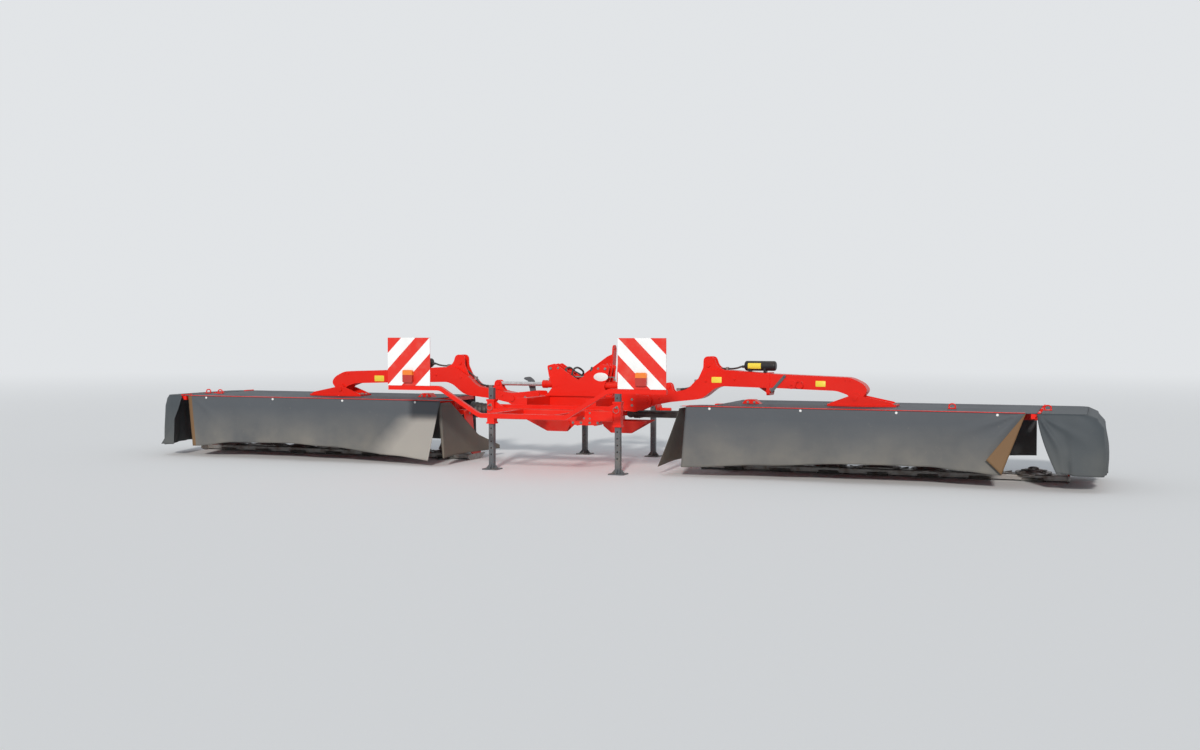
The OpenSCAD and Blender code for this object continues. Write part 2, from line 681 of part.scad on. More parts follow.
// one disc about its own axis at the origin, knives along X when phase is 0
module disc(drum) {
  side_r = 300;                   // radius of the disc's two long sides
  color(steel) {
    // pressed dish, oval, its rim turned down over the knives' roots
    intersection() {
      rotate_extrude()
        polygon(rounded([[0, disc_z], [168, disc_z, 30], [192, disc_z - 3], [194, disc_z + 2],
                         [168, disc_z + 6, 36],
                         [118, disc_z + 8, 50], [88, disc_z + 26, 30], [40, disc_z + 28, 8],
                         [0, disc_z + 28]], 4));
      translate([0, side_r - 150, disc_z - 5]) cylinder(h = 40, r = side_r);
      translate([0, 150 - side_r, disc_z - 5]) cylinder(h = 40, r = side_r);
    }
    // pressed ribs that throw the crop back
    for (a = [38, 142, 218, 322]) rotate(a)
      translate([74, -6, disc_z + 3]) rotate([0, 7, 0]) cube([92, 12, 21]);
    translate([0, 0, 58.5]) cylinder(h = 20, d = 110);
    translate([0, 0, disc_z + 24])
      rotate_extrude() polygon(rounded([[0, 0], [48, 0], [44, 18, 8], [22, 26, 8], [0, 26]], 3));
    if (drum)
      translate([0, 0, disc_z + 22])
        rotate_extrude()
          polygon(rounded([[0, 0], [122, 0], [118, 14, 20], [96, 60, 60], [92, 180, 200], [104, 262, 40],
                           [108, 270], [100, 278], [30, 280], [30, 303, 6], [0, 303]], 4));
    // knives, each on its stud, twisted in short steps towards the tip with the edge kept level
    twist_step = (knife_reach - 202) / 6;
    for (a = [0, 180]) rotate(a) {
      difference() {
        union() {
          translate([150, -24, 64]) cube([52, 48, 4]);
          for (i = [0:5]) translate([201 + i * twist_step, -24, 64]) rotate([2.2 * (i + 1), 0, 0])
            cube([twist_step + (i < 5 ? 0.5 : 0), 48, 4]);
        }
        translate([178, 0, 60]) cylinder(h = 10, d = 18);
      }
      translate([178, 0, 61]) cylinder(h = 12, d = 18);
      translate([178, 0, 61]) cylinder(h = 4, d = 30);
    }
  }
}

module disc_at(i) {
  translate([disc_first_x + (i - 1) * disc_pitch, bar_y, 0]) rotate(i % 2 == 1 ? 90 : 0)
    disc(i == 1);
}

module pto_shaft_inner() {
  color(black) union() {
    rod_y(shaft_y - 36, shaft_y + 36, shaft_in_x, shaft_z, 76);
    difference() {
      union() {
        rod_x(shaft_in_x + 24, shaft_in_x + 80, shaft_y, shaft_z, 84);
        translate([shaft_in_x + 80, shaft_y, shaft_z]) rotate([0, 90, 0]) cylinder(h = 40, d1 = 84, d2 = 70);
        rod_x(shaft_in_x + 110, shaft_out_x - 160, shaft_y, shaft_z, 70);
        for (x = [shaft_in_x + 30, shaft_in_x + 50, shaft_in_x + 70]) rod_x(x, x + 7, shaft_y, shaft_z, 90);
      }
      rod_x(shaft_in_x + 180, shaft_out_x, shaft_y, shaft_z, 44.6);
    }
  }
}

module pto_shaft_outer() {
  color(black) union() {
    rod_x(shaft_in_x + 300, shaft_out_x - 60, shaft_y, shaft_z, 44);
    rod_x(shaft_out_x - 60, shaft_out_x + 4, shaft_y, shaft_z, 84);
    translate([shaft_out_x - 95, shaft_y, shaft_z]) rotate([0, 90, 0]) cylinder(h = 40, d1 = 56, d2 = 84);
    for (x = [shaft_out_x - 50, shaft_out_x - 30, shaft_out_x - 10]) rod_x(x, x + 7, shaft_y, shaft_z, 90);
  }
}

module parking_leg(x, y) {
  color(leg_grey) union() {
    difference() {
      block(x - leg_side / 2, x + leg_side / 2, y - leg_side / 2, y + leg_side / 2, 10, leg_len);
      for (z = [140:60:leg_len - 40]) rod_y(y - 60, y + 60, x, z, 16);
    }
    linear_extrude(10)
      polygon(rounded([for (p = [[-1, -1], [1, -1], [1, 1],
      [-1, 1]]) [x + 75 * p[0], y + 75 * p[1], 16]], 3));
    for (a = [0, 90]) translate([x, y, 9]) rotate(a)
      plate_xz(-4, 8) polygon([[-64, 0], [-leg_side / 2, 46], [leg_side / 2, 46], [64, 0]]);
  }
}

module rear_leg() parking_leg(rear_leg_x, cross_y);
module front_leg() parking_leg(front_leg_x, front_leg_y);

// the left fold cylinder lies in front of the right one, so it is the right one
// turned half a turn about the middle of the pivot beam
module turned() translate([0, 2 * arm_y, 0]) rotate([0, 0, 180]) children();

// one line for each node

headstock();
mast();
mast_braces();
main_frame();
fold_tower();
rear_crossbeam();
board_carrier();
warning_boards();
tail_lamps();
center_gearbox();
transport_hooks();
shaft_guards();
for (s = ["right", "left"]) {
  on(s)
    arm_inner(s == "right" ? cyl_y : 2 * arm_y - cyl_y);
  on(s) arm_outer();
  on(s) accumulator();
  on(s) unit_frame();
  on(s) cover();
  on(s) curtains();
  on(s) flap_frame();
  on(s) outer_flap();
  on(s) cutter_bar();
  on(s) unit_gearbox();
  on(s) pto_shaft_inner();
  on(s) pto_shaft_outer();
  on(s) rear_leg();
  on(s) front_leg();
  for (i = DISCS) on(s) disc_at(i);
}
fold_cylinder();  // fold_cylinder_right
fold_rod();  // fold_rod_right
turned() fold_cylinder();  // fold_cylinder_left
turned() fold_rod();  // fold_rod_left
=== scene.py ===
"""Looks of the rear-mounted butterfly disc mower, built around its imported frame.

Metres, in the frame's own axes: +X right seen from behind, +Y forward, +Z up.
Every piece of a wing is made for the right side and mirrored for the left.
"""

import math

import bmesh
import bpy
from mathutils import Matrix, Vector, noise


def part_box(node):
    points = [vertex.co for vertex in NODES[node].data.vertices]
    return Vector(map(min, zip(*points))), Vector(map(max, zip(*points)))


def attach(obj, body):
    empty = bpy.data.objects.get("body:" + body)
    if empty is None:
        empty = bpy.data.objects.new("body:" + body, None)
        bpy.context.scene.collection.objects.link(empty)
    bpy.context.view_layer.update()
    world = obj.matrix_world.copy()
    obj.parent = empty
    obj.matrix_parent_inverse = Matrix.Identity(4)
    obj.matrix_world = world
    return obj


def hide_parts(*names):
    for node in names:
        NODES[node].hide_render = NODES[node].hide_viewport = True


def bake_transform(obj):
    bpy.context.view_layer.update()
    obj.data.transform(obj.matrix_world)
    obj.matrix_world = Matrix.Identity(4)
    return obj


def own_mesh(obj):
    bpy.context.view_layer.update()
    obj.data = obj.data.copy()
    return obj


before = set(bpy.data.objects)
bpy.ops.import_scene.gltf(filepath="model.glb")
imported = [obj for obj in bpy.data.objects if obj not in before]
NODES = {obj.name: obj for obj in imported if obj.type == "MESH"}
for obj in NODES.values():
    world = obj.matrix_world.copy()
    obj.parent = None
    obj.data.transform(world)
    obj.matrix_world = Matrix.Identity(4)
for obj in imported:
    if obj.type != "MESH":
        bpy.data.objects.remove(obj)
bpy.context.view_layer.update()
SIDES = {"right": 1, "left": -1}
REARWARD, FORWARD, UP = (0, -1, 0), (0, 1, 0), (0, 0, 1)
OUTWARD, INWARD = (1, 0, 0), (-1, 0, 0)


# Camera, light and stage

PHOTO_W = 1200          # width of the photograph in pixels
FOCAL_PX = 1300         # focal length in those pixels
SENSOR_MM = 36
CAMERA_AT = (4.606, -11.365, 1.27)
YAW, PITCH = 21.0, -1.9             # degrees to the left of forward, and above level
CLIP_END = 200

BACKDROP = (0.76, 0.78, 0.80)
SKY_COLOR, SKY_LIGHT = (0.86, 0.92, 1.0), 0.48
SUN_FROM = (0.20, -0.762, 0.325)    # read from the shadow of the left board on the curtain
SUN_COLOR, SUN_LIGHT, SUN_ANGLE = (1.0, 0.975, 0.94), 2.3, 5
FLOOR_COLOR = (0.90, 0.90, 0.89)
FLOOR_HALF = 90.0                   # half of the floor's side
FADE_FROM, FADE_TO = 9.0, 34.0      # how far out the floor begins and ends to fade


def add_object(name, data):
    ob = bpy.data.objects.new(name, data)
    bpy.context.collection.objects.link(ob)
    return ob


def make_camera():
    cam = bpy.data.cameras.new("camera")
    cam.sensor_width = SENSOR_MM
    cam.lens = SENSOR_MM * FOCAL_PX / PHOTO_W
    cam.clip_end = CLIP_END
    ob = add_object("camera", cam)
    ob.location = CAMERA_AT
    ob.rotation_euler = (math.radians(90 + PITCH), 0, math.radians(YAW))
    bpy.context.scene.camera = ob
    bpy.context.scene.view_settings.view_transform = "Standard"


def seen(nt):
    """1 for what the camera sees directly, in a gloss or through glass."""
    path = nt.nodes.new("ShaderNodeLightPath")
    rays = [path.outputs[f"Is {kind} Ray"] for kind in ("Camera", "Glossy", "Transmission")]
    return maths(nt, "MAXIMUM", maths(nt, "MAXIMUM", rays[0], rays[1]), rays[2])


def either(nt, fac, a, b, output):
    """Shader a where fac is 0 and b where it is 1, as the surface of the output node."""
    node = nt.nodes.new("ShaderNodeMixShader")
    for socket, value in zip(node.inputs, (fac, a, b)):
        link(nt, value, socket)
    link(nt, node.outputs[0], nt.nodes[output].inputs["Surface"])


def make_world():
    world = bpy.data.worlds.new("world")
    bpy.context.scene.world = world
    world.use_nodes = True
    nt = world.node_tree
    light = nt.nodes["Background"]
    set_inputs(light, {"Color": (*SKY_COLOR, 1), "Strength": SKY_LIGHT})
    back = nt.nodes.new("ShaderNodeBackground")
    set_inputs(back, {"Color": (*BACKDROP, 1)})
    either(nt, seen(nt), light.outputs[0], back.outputs[0], "World Output")
    sun = bpy.data.lights.new("sun", "SUN")
    sun.energy, sun.angle = SUN_LIGHT, math.radians(SUN_ANGLE)
    sun.color = SUN_COLOR
    add_object("sun", sun).rotation_euler = Vector(SUN_FROM).to_track_quat("Z", "Y").to_euler()


def make_stage():
    """A pale floor that keeps the shadow and fades into the backdrop far from the object."""
    me = bpy.data.meshes.new("floor")
    corners = [(x * FLOOR_HALF, y * FLOOR_HALF, 0) for x, y in ((-1, -1), (1, -1), (1, 1), (-1, 1))]
    me.from_pydata(corners, [], [(0, 1, 2, 3)])
    floor = add_object("floor", me)
    mat, nt, bsdf = tree_of("floor")
    set_inputs(bsdf, {"Base Color": (*FLOOR_COLOR, 1), "Roughness": 0.95, "Specular IOR Level": 0.1})
    away = nt.nodes.new("ShaderNodeVectorMath")
    away.operation = "LENGTH"
    link(nt, point_at(nt), away.inputs[0])
    fade = nt.nodes.new("ShaderNodeMapRange")
    fade.interpolation_type = "SMOOTHSTEP"
    set_inputs(fade, {"From Min": FADE_FROM, "From Max": FADE_TO})
    link(nt, away.outputs["Value"], fade.inputs["Value"])
    glow = nt.nodes.new("ShaderNodeEmission")
    set_inputs(glow, {"Color": (*BACKDROP, 1)})
    either(nt, times(nt, fade.outputs[0], seen(nt)), bsdf.outputs[0], glow.outputs[0], "Material Output")
    me.materials.append(mat)


# Nodes

def tree_of(name):
    mat = bpy.data.materials.new(name)
    mat.use_nodes = True
    nt = mat.node_tree
    return mat, nt, nt.nodes["Principled BSDF"]


def link(nt, a, b):
    nt.links.new(a, b)


def set_inputs(node, values):
    for socket, value in values.items():
        node.inputs[socket].default_value = value


def texture(nt, kind, co, values):
    node = nt.nodes.new(f"ShaderNodeTex{kind}")
    set_inputs(node, values)
    link(nt, co, node.inputs["Vector"])
    return node


def noise_at(nt, co, scale, detail, rough=0.55):
    return texture(nt, "Noise", co, {"Scale": scale, "Detail": detail, "Roughness": rough}).outputs["Fac"]


def ramp(nt, fac, start, end, low=0.0):
    """A ramp that rises from low where fac is start to 1 where it is end."""
    node = nt.nodes.new("ShaderNodeValToRGB")
    for stop, at, value in zip(node.color_ramp.elements, (start, end), (low, 1.0)):
        stop.position = at
        stop.color = (value, value, value, 1)
    link(nt, fac, node.inputs["Fac"])
    return node.outputs["Color"]


def maths(nt, op, a, b=None, clamp=False):
    node = nt.nodes.new("ShaderNodeMath")
    node.operation, node.use_clamp = op, clamp
    for socket, value in zip(node.inputs, (a, b)):
        if isinstance(value, (int, float)):
            socket.default_value = value
        elif value is not None:
            link(nt, value, socket)
    return node.outputs[0]


def add(nt, a, b, clamp=False):
    return maths(nt, "ADD", a, b, clamp)


def minus(nt, a, b, clamp=False):
    return maths(nt, "SUBTRACT", a, b, clamp)


def times(nt, a, b, clamp=False):
    return maths(nt, "MULTIPLY", a, b, clamp)


def over(nt, a, b, clamp=False):
    return maths(nt, "DIVIDE", a, b, clamp)


def mix(nt, fac, a, b):
    """Colour a where fac is 0 and b where it is 1."""
    node = nt.nodes.new("ShaderNodeMix")
    node.data_type = "RGBA"
    for key, value in (("Factor", fac), ("A", a), ("B", b)):
        socket = [s for s in node.inputs if s.name == key and s.enabled][0]
        if isinstance(value, tuple):
            socket.default_value = (*value, 1)
        else:
            link(nt, value, socket)
    return [s for s in node.outputs if s.enabled][0]


def shade(color, share):
    return tuple(min(1, c * share) for c in color)


def point_at(nt):
    """The point in the frame's own axes."""
    return nt.nodes.new("ShaderNodeTexCoord").outputs["Object"]


def axes_of(nt, vector):
    node = nt.nodes.new("ShaderNodeSeparateXYZ")
    link(nt, vector, node.inputs[0])
    return [node.outputs[axis] for axis in "XYZ"]


def normal_of(nt):
    return axes_of(nt, nt.nodes.new("ShaderNodeNewGeometry").outputs["Normal"])


def bump(nt, bsdf, height, strength, distance):
    node = nt.nodes.new("ShaderNodeBump")
    set_inputs(node, {"Strength": strength, "Distance": distance})
    link(nt, height, node.inputs["Height"])
    link(nt, node.outputs[0], bsdf.inputs["Normal"])


# Materials

FIELD_DUST = (0.42, 0.31, 0.20)
RUST = (0.21, 0.09, 0.035)
SOIL = (0.23, 0.17, 0.10)
RUBBER, RUBBER_DUST = (0.022, 0.022, 0.024), (0.20, 0.17, 0.13)
DUSTY_BELOW = 0.60      # height under which paint gathers dust
CLOTH_DUSTY_BELOW, CLOTH_DUST_RUN = 0.52, 0.50

# painted light: the sunlit inner end of the left rear curtain is painted paler, up to a line that leans
# PALE_SLANT along X for each metre up
PALE_FROM, PALE_SOFT, PALE_SLANT = -2.05, 0.30, 0.90
PALE_BELOW, PALE_TOP_SOFT = 0.50, 0.06
PAINTED_SUNLIGHT_COLOR = (0.42, 0.39, 0.35)

STRIPE = 0.141          # width of a stripe of the warning board, measured along X
STRIPE_PHASE = 0.05     # where the stripes begin, as a share of a red and a white one
STRIPE_WHITE, STRIPE_RED, BOARD_EDGE = (0.86, 0.86, 0.85), (0.72, 0.022, 0.010), (0.60, 0.020, 0.010)
BOARD_DUST, LENS_DUST = (0.50, 0.44, 0.34), (0.50, 0.42, 0.30)
LAMP_SPLIT = 0.0655     # height of the groove between the two lenses above the lamp's lower edge


def painted(name, color, dust_amount=0.22, rough=0.34, worn=None):
    """Enamel paint: uneven tone, field dust low down and on top faces, chips of the colour worn."""
    on_tops, everywhere, in_specks, dust_dulls = 0.45, 0.04, 0.35, 0.5
    mat, nt, bsdf = tree_of(name)
    co = point_at(nt)
    up = times(nt, normal_of(nt)[2], on_tops, clamp=True)
    low = minus(nt, DUSTY_BELOW, axes_of(nt, co)[2], clamp=True)
    clouds = ramp(nt, noise_at(nt, co, 7.0, 6), 0.42, 0.75)
    speck = ramp(nt, noise_at(nt, co, 90.0, 3), 0.50, 0.62)
    amount = add(nt, add(nt, up, low), everywhere)
    amount = times(nt, amount, add(nt, clouds, times(nt, speck, in_specks)), clamp=True)
    amount = times(nt, amount, dust_amount * 2, clamp=True)
    tone = mix(nt, noise_at(nt, co, 2.5, 2), shade(color, 0.86), shade(color, 1.05))
    col = mix(nt, amount, tone, FIELD_DUST)
    if worn:
        chip = ramp(nt, noise_at(nt, co, 38.0, 8, 0.7), 0.700, 0.712)
        col = mix(nt, chip, col, worn)
    link(nt, col, bsdf.inputs["Base Color"])
    link(nt, add(nt, times(nt, amount, dust_dulls), rough, clamp=True), bsdf.inputs["Roughness"])
    bump(nt, bsdf, noise_at(nt, co, 160.0, 3), 0.12, 0.0006)
    set_inputs(bsdf, {"Specular IOR Level": 0.24, "Coat Weight": 0.05, "Coat Roughness": 0.16})
    return mat


def steel_bare(name, color=(0.33, 0.32, 0.31), rough=0.38, rust=0.35):
    """Ground-worn steel with dry soil and light rust."""
    soil_share, rust_dulls = 0.45, 0.35
    mat, nt, bsdf = tree_of(name)
    co = point_at(nt)
    patch = ramp(nt, noise_at(nt, co, 14.0, 7, 0.65), 0.46, 0.68)
    col = mix(nt, times(nt, patch, rust), color, RUST)
    soil = ramp(nt, noise_at(nt, co, 30.0, 5), 0.52, 0.70)
    col = mix(nt, times(nt, soil, soil_share), col, SOIL)
    link(nt, col, bsdf.inputs["Base Color"])
    link(nt, add(nt, times(nt, patch, rust_dulls), rough), bsdf.inputs["Roughness"])
    set_inputs(bsdf, {"Metallic": 0.75})
    bump(nt, bsdf, noise_at(nt, co, 120.0, 5), 0.3, 0.0008)
    return mat


def painted_sunlight(nt, face, clouds, x, z):
    """The colour face with painted light: paler over the sunlit inner end of the left rear curtain."""
    uneven, strength = 0.10, 0.75
    # 0 beyond the slanting line, 1 well inside it
    edge = add(nt, times(nt, z, -PALE_SLANT), x)
    edge = add(nt, edge, times(nt, clouds, uneven))
    share = over(nt, minus(nt, edge, PALE_FROM), PALE_SOFT, clamp=True)
    below = over(nt, minus(nt, PALE_BELOW, z), PALE_TOP_SOFT, clamp=True)
    left = maths(nt, "LESS_THAN", x, 0.0)
    share = times(nt, times(nt, share, below), left)
    return mix(nt, times(nt, share, strength), face, PAINTED_SUNLIGHT_COLOR)


def coated_cloth(name, color, dust, paint_sunlight=False):
    """PVC-coated curtain: fine weave, a dusty lower half, soft scuffs and creases, and painted light on a
    sunlit end if asked.
    """
    dust_share, scuff_share, thread_share, rough, dust_dulls = 0.62, 0.10, 0.06, 0.56, 0.30
    mat, nt, bsdf = tree_of(name)
    co = point_at(nt)
    x, _, z = axes_of(nt, co)
    weave, weft = (texture(nt, "Wave", co, {"Scale": 170, "Distortion": 0.4}) for _ in range(2))
    weft.bands_direction = "Z"
    clouds = noise_at(nt, co, 3.2, 6)
    low = over(nt, minus(nt, CLOTH_DUSTY_BELOW, z), CLOTH_DUST_RUN, clamp=True)
    amount = times(nt, low, ramp(nt, clouds, 0.30, 0.72, 0.25), clamp=True)
    scuff = ramp(nt, noise_at(nt, co, 26.0, 8, 0.7), 0.60, 0.70)
    amount = add(nt, times(nt, amount, dust_share), times(nt, scuff, scuff_share), clamp=True)
    base = mix(nt, noise_at(nt, co, 1.6, 3), shade(color, 0.85), shade(color, 1.15))
    face = mix(nt, amount, base, dust)
    # painted light: the left rear curtain's sunlit inner end is painted paler
    if paint_sunlight:
        face = painted_sunlight(nt, face, clouds, x, z)
    link(nt, face, bsdf.inputs["Base Color"])
    link(nt, add(nt, times(nt, amount, dust_dulls), rough), bsdf.inputs["Roughness"])
    threads = add(nt, weave.outputs["Fac"], weft.outputs["Fac"])
    crease = noise_at(nt, co, 5.0, 3)
    bump(nt, bsdf, add(nt, times(nt, threads, thread_share), crease), 0.35, 0.006)
    set_inputs(bsdf, {"Specular IOR Level": 0.22})
    return mat


def rubber_black(name, rough=0.45):
    dust_share, dust_dulls = 0.45, 0.3
    mat, nt, bsdf = tree_of(name)
    co = point_at(nt)
    dusty = ramp(nt, noise_at(nt, co, 9.0, 6), 0.45, 0.80)
    col = mix(nt, times(nt, dusty, dust_share), RUBBER, RUBBER_DUST)
    link(nt, col, bsdf.inputs["Base Color"])
    link(nt, add(nt, times(nt, dusty, dust_dulls), rough), bsdf.inputs["Roughness"])
    bump(nt, bsdf, noise_at(nt, co, 200.0, 3), 0.2, 0.0005)
    return mat


def board_sheet(name):
    """Retroreflective sheet in red and white stripes at 45 degrees, falling away from the middle."""
    dust_share = 0.18
    mat, nt, bsdf = tree_of(name)
    co = point_at(nt)
    x, _, z = axes_of(nt, co)
    along = add(nt, maths(nt, "ABSOLUTE", x), z)
    wave = maths(nt, "FRACT", add(nt, over(nt, along, STRIPE * 2), STRIPE_PHASE))
    col = mix(nt, maths(nt, "GREATER_THAN", wave, 0.5), STRIPE_WHITE, STRIPE_RED)
    edge = maths(nt, "LESS_THAN", maths(nt, "ABSOLUTE", normal_of(nt)[1]), 0.5)
    col = mix(nt, edge, col, BOARD_EDGE)
    dusty = ramp(nt, noise_at(nt, co, 10.0, 5), 0.50, 0.85)
    col = mix(nt, times(nt, dusty, dust_share), col, BOARD_DUST)
    link(nt, col, bsdf.inputs["Base Color"])
    set_inputs(bsdf, {"Roughness": 0.3})
    cell = texture(nt, "Voronoi", co, {"Scale": 220})
    bump(nt, bsdf, cell.outputs["Distance"], 0.08, 0.0004)
    return mat


def lens(name, low, high, split_z):
    """Ribbed two-colour lamp lens: one colour below split_z and one above it."""
    dust_share = 0.10
    mat, nt, bsdf = tree_of(name)
    co = point_at(nt)
    col = mix(nt, maths(nt, "GREATER_THAN", axes_of(nt, co)[2], split_z), low, high)
    col = mix(nt, times(nt, noise_at(nt, co, 20.0, 4), dust_share), col, LENS_DUST)
    link(nt, col, bsdf.inputs["Base Color"])
    set_inputs(bsdf, {"Roughness": 0.18, "Coat Weight": 0.2})
    ribs = texture(nt, "Wave", co, {"Scale": 60})
    bump(nt, bsdf, ribs.outputs["Fac"], 0.25, 0.001)
    return mat


MATS = {}


def make_materials():
    split_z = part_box("tail_lamps")[0].z + LAMP_SPLIT
    MATS.update({
        "red": painted("paint_red", (0.80, 0.014, 0.005), dust_amount=0.17, worn=(0.30, 0.10, 0.06)),
        "grey": painted("paint_grey", (0.105, 0.115, 0.125), rough=0.42, worn=(0.25, 0.22, 0.19)),
        "black": painted("paint_black", (0.018, 0.018, 0.020), dust_amount=0.15, rough=0.38),
        "yellow": painted("label_yellow", (0.90, 0.69, 0.07), dust_amount=0.12),
        "white": painted("label_white", (0.80, 0.80, 0.78), dust_amount=0.15),
        "steel": steel_bare("steel_worn"),
        "rod": steel_bare("rod_chrome", (0.62, 0.62, 0.63), rough=0.12, rust=0.0),
        "zinc": steel_bare("zinc", (0.27, 0.26, 0.25), rough=0.42, rust=0.25),
        "cloth": coated_cloth("curtain_cloth", (0.084, 0.092, 0.104), (0.29, 0.25, 0.19)),
        # the left rear curtain's sunlit inner end gets painted light
        "cloth_rear": coated_cloth("curtain_rear", (0.088, 0.096, 0.106), (0.33, 0.29, 0.225), True),
        "cloth_flap": coated_cloth("curtain_flap", (0.062, 0.072, 0.080), (0.17, 0.165, 0.145)),
        "cloth_in": coated_cloth("curtain_inside", (0.17, 0.095, 0.045), (0.22, 0.145, 0.08)),
        "cloth_dusty": coated_cloth("curtain_dusty", (0.105, 0.098, 0.088), (0.24, 0.19, 0.135)),
        "guard": rubber_black("guard_black"),
        "hose": rubber_black("hose_black", rough=0.35),
        "lamp": lens("lens_two_colour", (0.45, 0.010, 0.006), (0.85, 0.20, 0.008), split_z),
        "board": board_sheet("board_stripes"),
    })


# material of each kind of node that isn't red
NODE_MATERIAL = {
    "transport_hooks": "grey", "rear_leg": "grey", "front_leg": "grey",
    "cutter_bar": "steel", "disc": "steel", "fold_rod": "rod",
    "accumulator": "black", "pto_shaft_inner": "guard", "pto_shaft_outer": "guard",
    "cover": "cloth", "curtains": "cloth", "outer_flap": "cloth", "warning_boards": "board",
    "tail_lamps": "lamp",
}


def dress_nodes():
    for name, ob in NODES.items():
        plain = name.replace("_right", "").replace("_left", "")
        if plain.startswith("disc_"):
            plain = "disc"
        for slot in ob.material_slots:
            slot.material = MATS[NODE_MATERIAL.get(plain, "red")]


# Cloth

CLOTH_THICK = 0.003


def cloth(name, side, body, surface, us, vs, keep=None, mat="cloth", inside=None,
          replaces=None):
    """A sheet of coated cloth through surface(u, v) for u in us and v in vs, drawn on the right.

    keep(u, v) says which cells stay, and inside(u, v) which of them show the cloth's inner side.
    """
    k = SIDES[side]
    nu, nv = len(us) - 1, len(vs) - 1
    rows = [[Vector(surface(u, v)) for v in vs] for u in us]
    verts = [(p.x * k, p.y, p.z) for row in rows for p in row]
    faces, marks = [], []
    for i in range(nu):
        for j in range(nv):
            u, v = (us[i] + us[i + 1]) / 2, (vs[j] + vs[j + 1]) / 2
            if keep and not keep(u, v):
                continue
            a = i * (nv + 1) + j
            quad = (a, a + nv + 1, a + nv + 2, a + 1)
            faces.append(quad if k > 0 else quad[::-1])
            marks.append(1 if inside and inside(u, v) else 0)
    me = bpy.data.meshes.new(name)
    me.from_pydata(verts, [], faces)
    me.materials.append(MATS[mat])
    me.materials.append(MATS["cloth_in"])
    for face, mark in zip(me.polygons, marks):
        face.use_smooth, face.material_index = True, mark
    bm = bmesh.new()
    bm.from_mesh(me)
    bmesh.ops.delete(bm, geom=[v for v in bm.verts if not v.link_faces], context="VERTS")
    area = sum(f.calc_area() for f in bm.faces)
    bm.to_mesh(me)
    bm.free()
    ob = add_object(f"{name}_{side}", me)
    thick = ob.modifiers.new("thick", "SOLIDIFY")
    thick.thickness, thick.offset = CLOTH_THICK, 0
    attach(ob, f"{body}_{side}")
    if replaces:
        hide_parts(f"{replaces}_{side}")
    return ob


def spread(a, b, n, *marks):
    """n even steps from a to b with the marks put in among them."""
    steps = [a + (b - a) * i / n for i in range(n + 1)]
    gap = abs(b - a) / n * 0.3
    steps = [s for s in steps if s in (a, b) or all(abs(s - m) > gap for m in marks)]
    return sorted(set(steps) | set(marks))


def curve_at(table, x):
    """The height at x on a smooth line through a table of (x, height)."""
    if x <= table[0][0]:
        return table[0][1]
    for (x0, z0), (x1, z1) in zip(table, table[1:]):
        if x <= x1:
            t = (x - x0) / (x1 - x0)
            t = t * t * (3 - 2 * t)
            return z0 + (z1 - z0) * t
    return table[-1][1]


def wobble(x, y, z, scale, seed):
    return noise.noise(Vector((x * scale + seed, y * scale - seed, z * scale)))


def pull(x, z, corner, rays):
    """Tension folds that run from a held corner, each a ray of (degrees below level, height)."""
    ray_width, near_run, far_run = 6.0, 0.08, 0.42
    run, drop = abs(corner[0] - x), corner[1] - z
    r = math.hypot(run, drop)
    angle = math.degrees(math.atan2(drop, run))
    near = min(1.0, r / near_run) * math.exp(-(r / far_run) ** 2)
    return sum(h * math.exp(-((angle - a) / ray_width) ** 2) for a, h in rays) * near


# Covers and curtains

cover_low, cover_high = (Vector(p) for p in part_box("cover_right"))
TOP_Z = cover_high.z
SHEET_Z = TOP_Z - 0.003     # middle of the cloth that lies on the frame
HANG_Z = TOP_Z - 0.004      # top line of the cloth that hangs from it
REAR_Y, FRONT_Y = cover_low.y, cover_high.y
IN_X, OUT_X = cover_low.x, cover_high.x
ARM_Y = 0.15                # middle of the arm
BAY_X, BAY_Y = IN_X + 0.25, -0.20       # outer and rear edge of the bay over the drive
# the cover's windows for the arm's foot and the spring bracket: x0, x1, y0, y1
WINDOWS = [(2.371, 2.971, 0.044, 0.256), (1.578, 1.762, 0.098, 0.202)]
TUBES = (1.4575, 2.1175, 3.2175, 4.1225)    # cross tubes that carry the cover

# height of the hem of the rear curtain over X, as it hangs in the photograph
HEM = {
    "right": [(1.18, 0.085), (1.9, 0.125), (2.7, 0.165), (3.3, 0.165), (3.6, 0.140), (3.9, 0.118)],
    "left": [(1.18, 0.055), (1.7, 0.090), (2.4, 0.150), (2.8, 0.170), (3.5, 0.160), (4.0, 0.11)],
}


def make_cover(side):
    sag_depth, ripple = 0.014, 0.002
    tube_run, edge_run, arm_half, arm_run = 0.45, 0.25, 0.06, 0.15

    def surface(x, y):
        free = min(1.0, min(abs(x - t) for t in TUBES) / tube_run) ** 1.5
        edge = min(1.0, (y - REAR_Y) / edge_run, (FRONT_Y - y) / edge_run)
        mid = min(1.0, max(0.0, abs(y - ARM_Y) - arm_half) / arm_run)
        sag = sag_depth * free * max(0.0, edge) * mid
        return (x, y, SHEET_Z - sag + ripple * wobble(x, y, 0, 5, 3) * edge * mid)

    def keep(x, y):
        if x < BAY_X and y > BAY_Y:
            return False
        return not any(x0 < x < x1 and y0 < y < y1 for x0, x1, y0, y1 in WINDOWS)

    cloth("cover_sheet", side, "unit", surface,
          spread(IN_X, OUT_X, 60, BAY_X, *(x for w in WINDOWS for x in w[:2])),
          spread(REAR_Y, FRONT_Y, 26, BAY_Y, *(y for w in WINDOWS for y in w[2:])),
          keep=keep, replaces="cover")


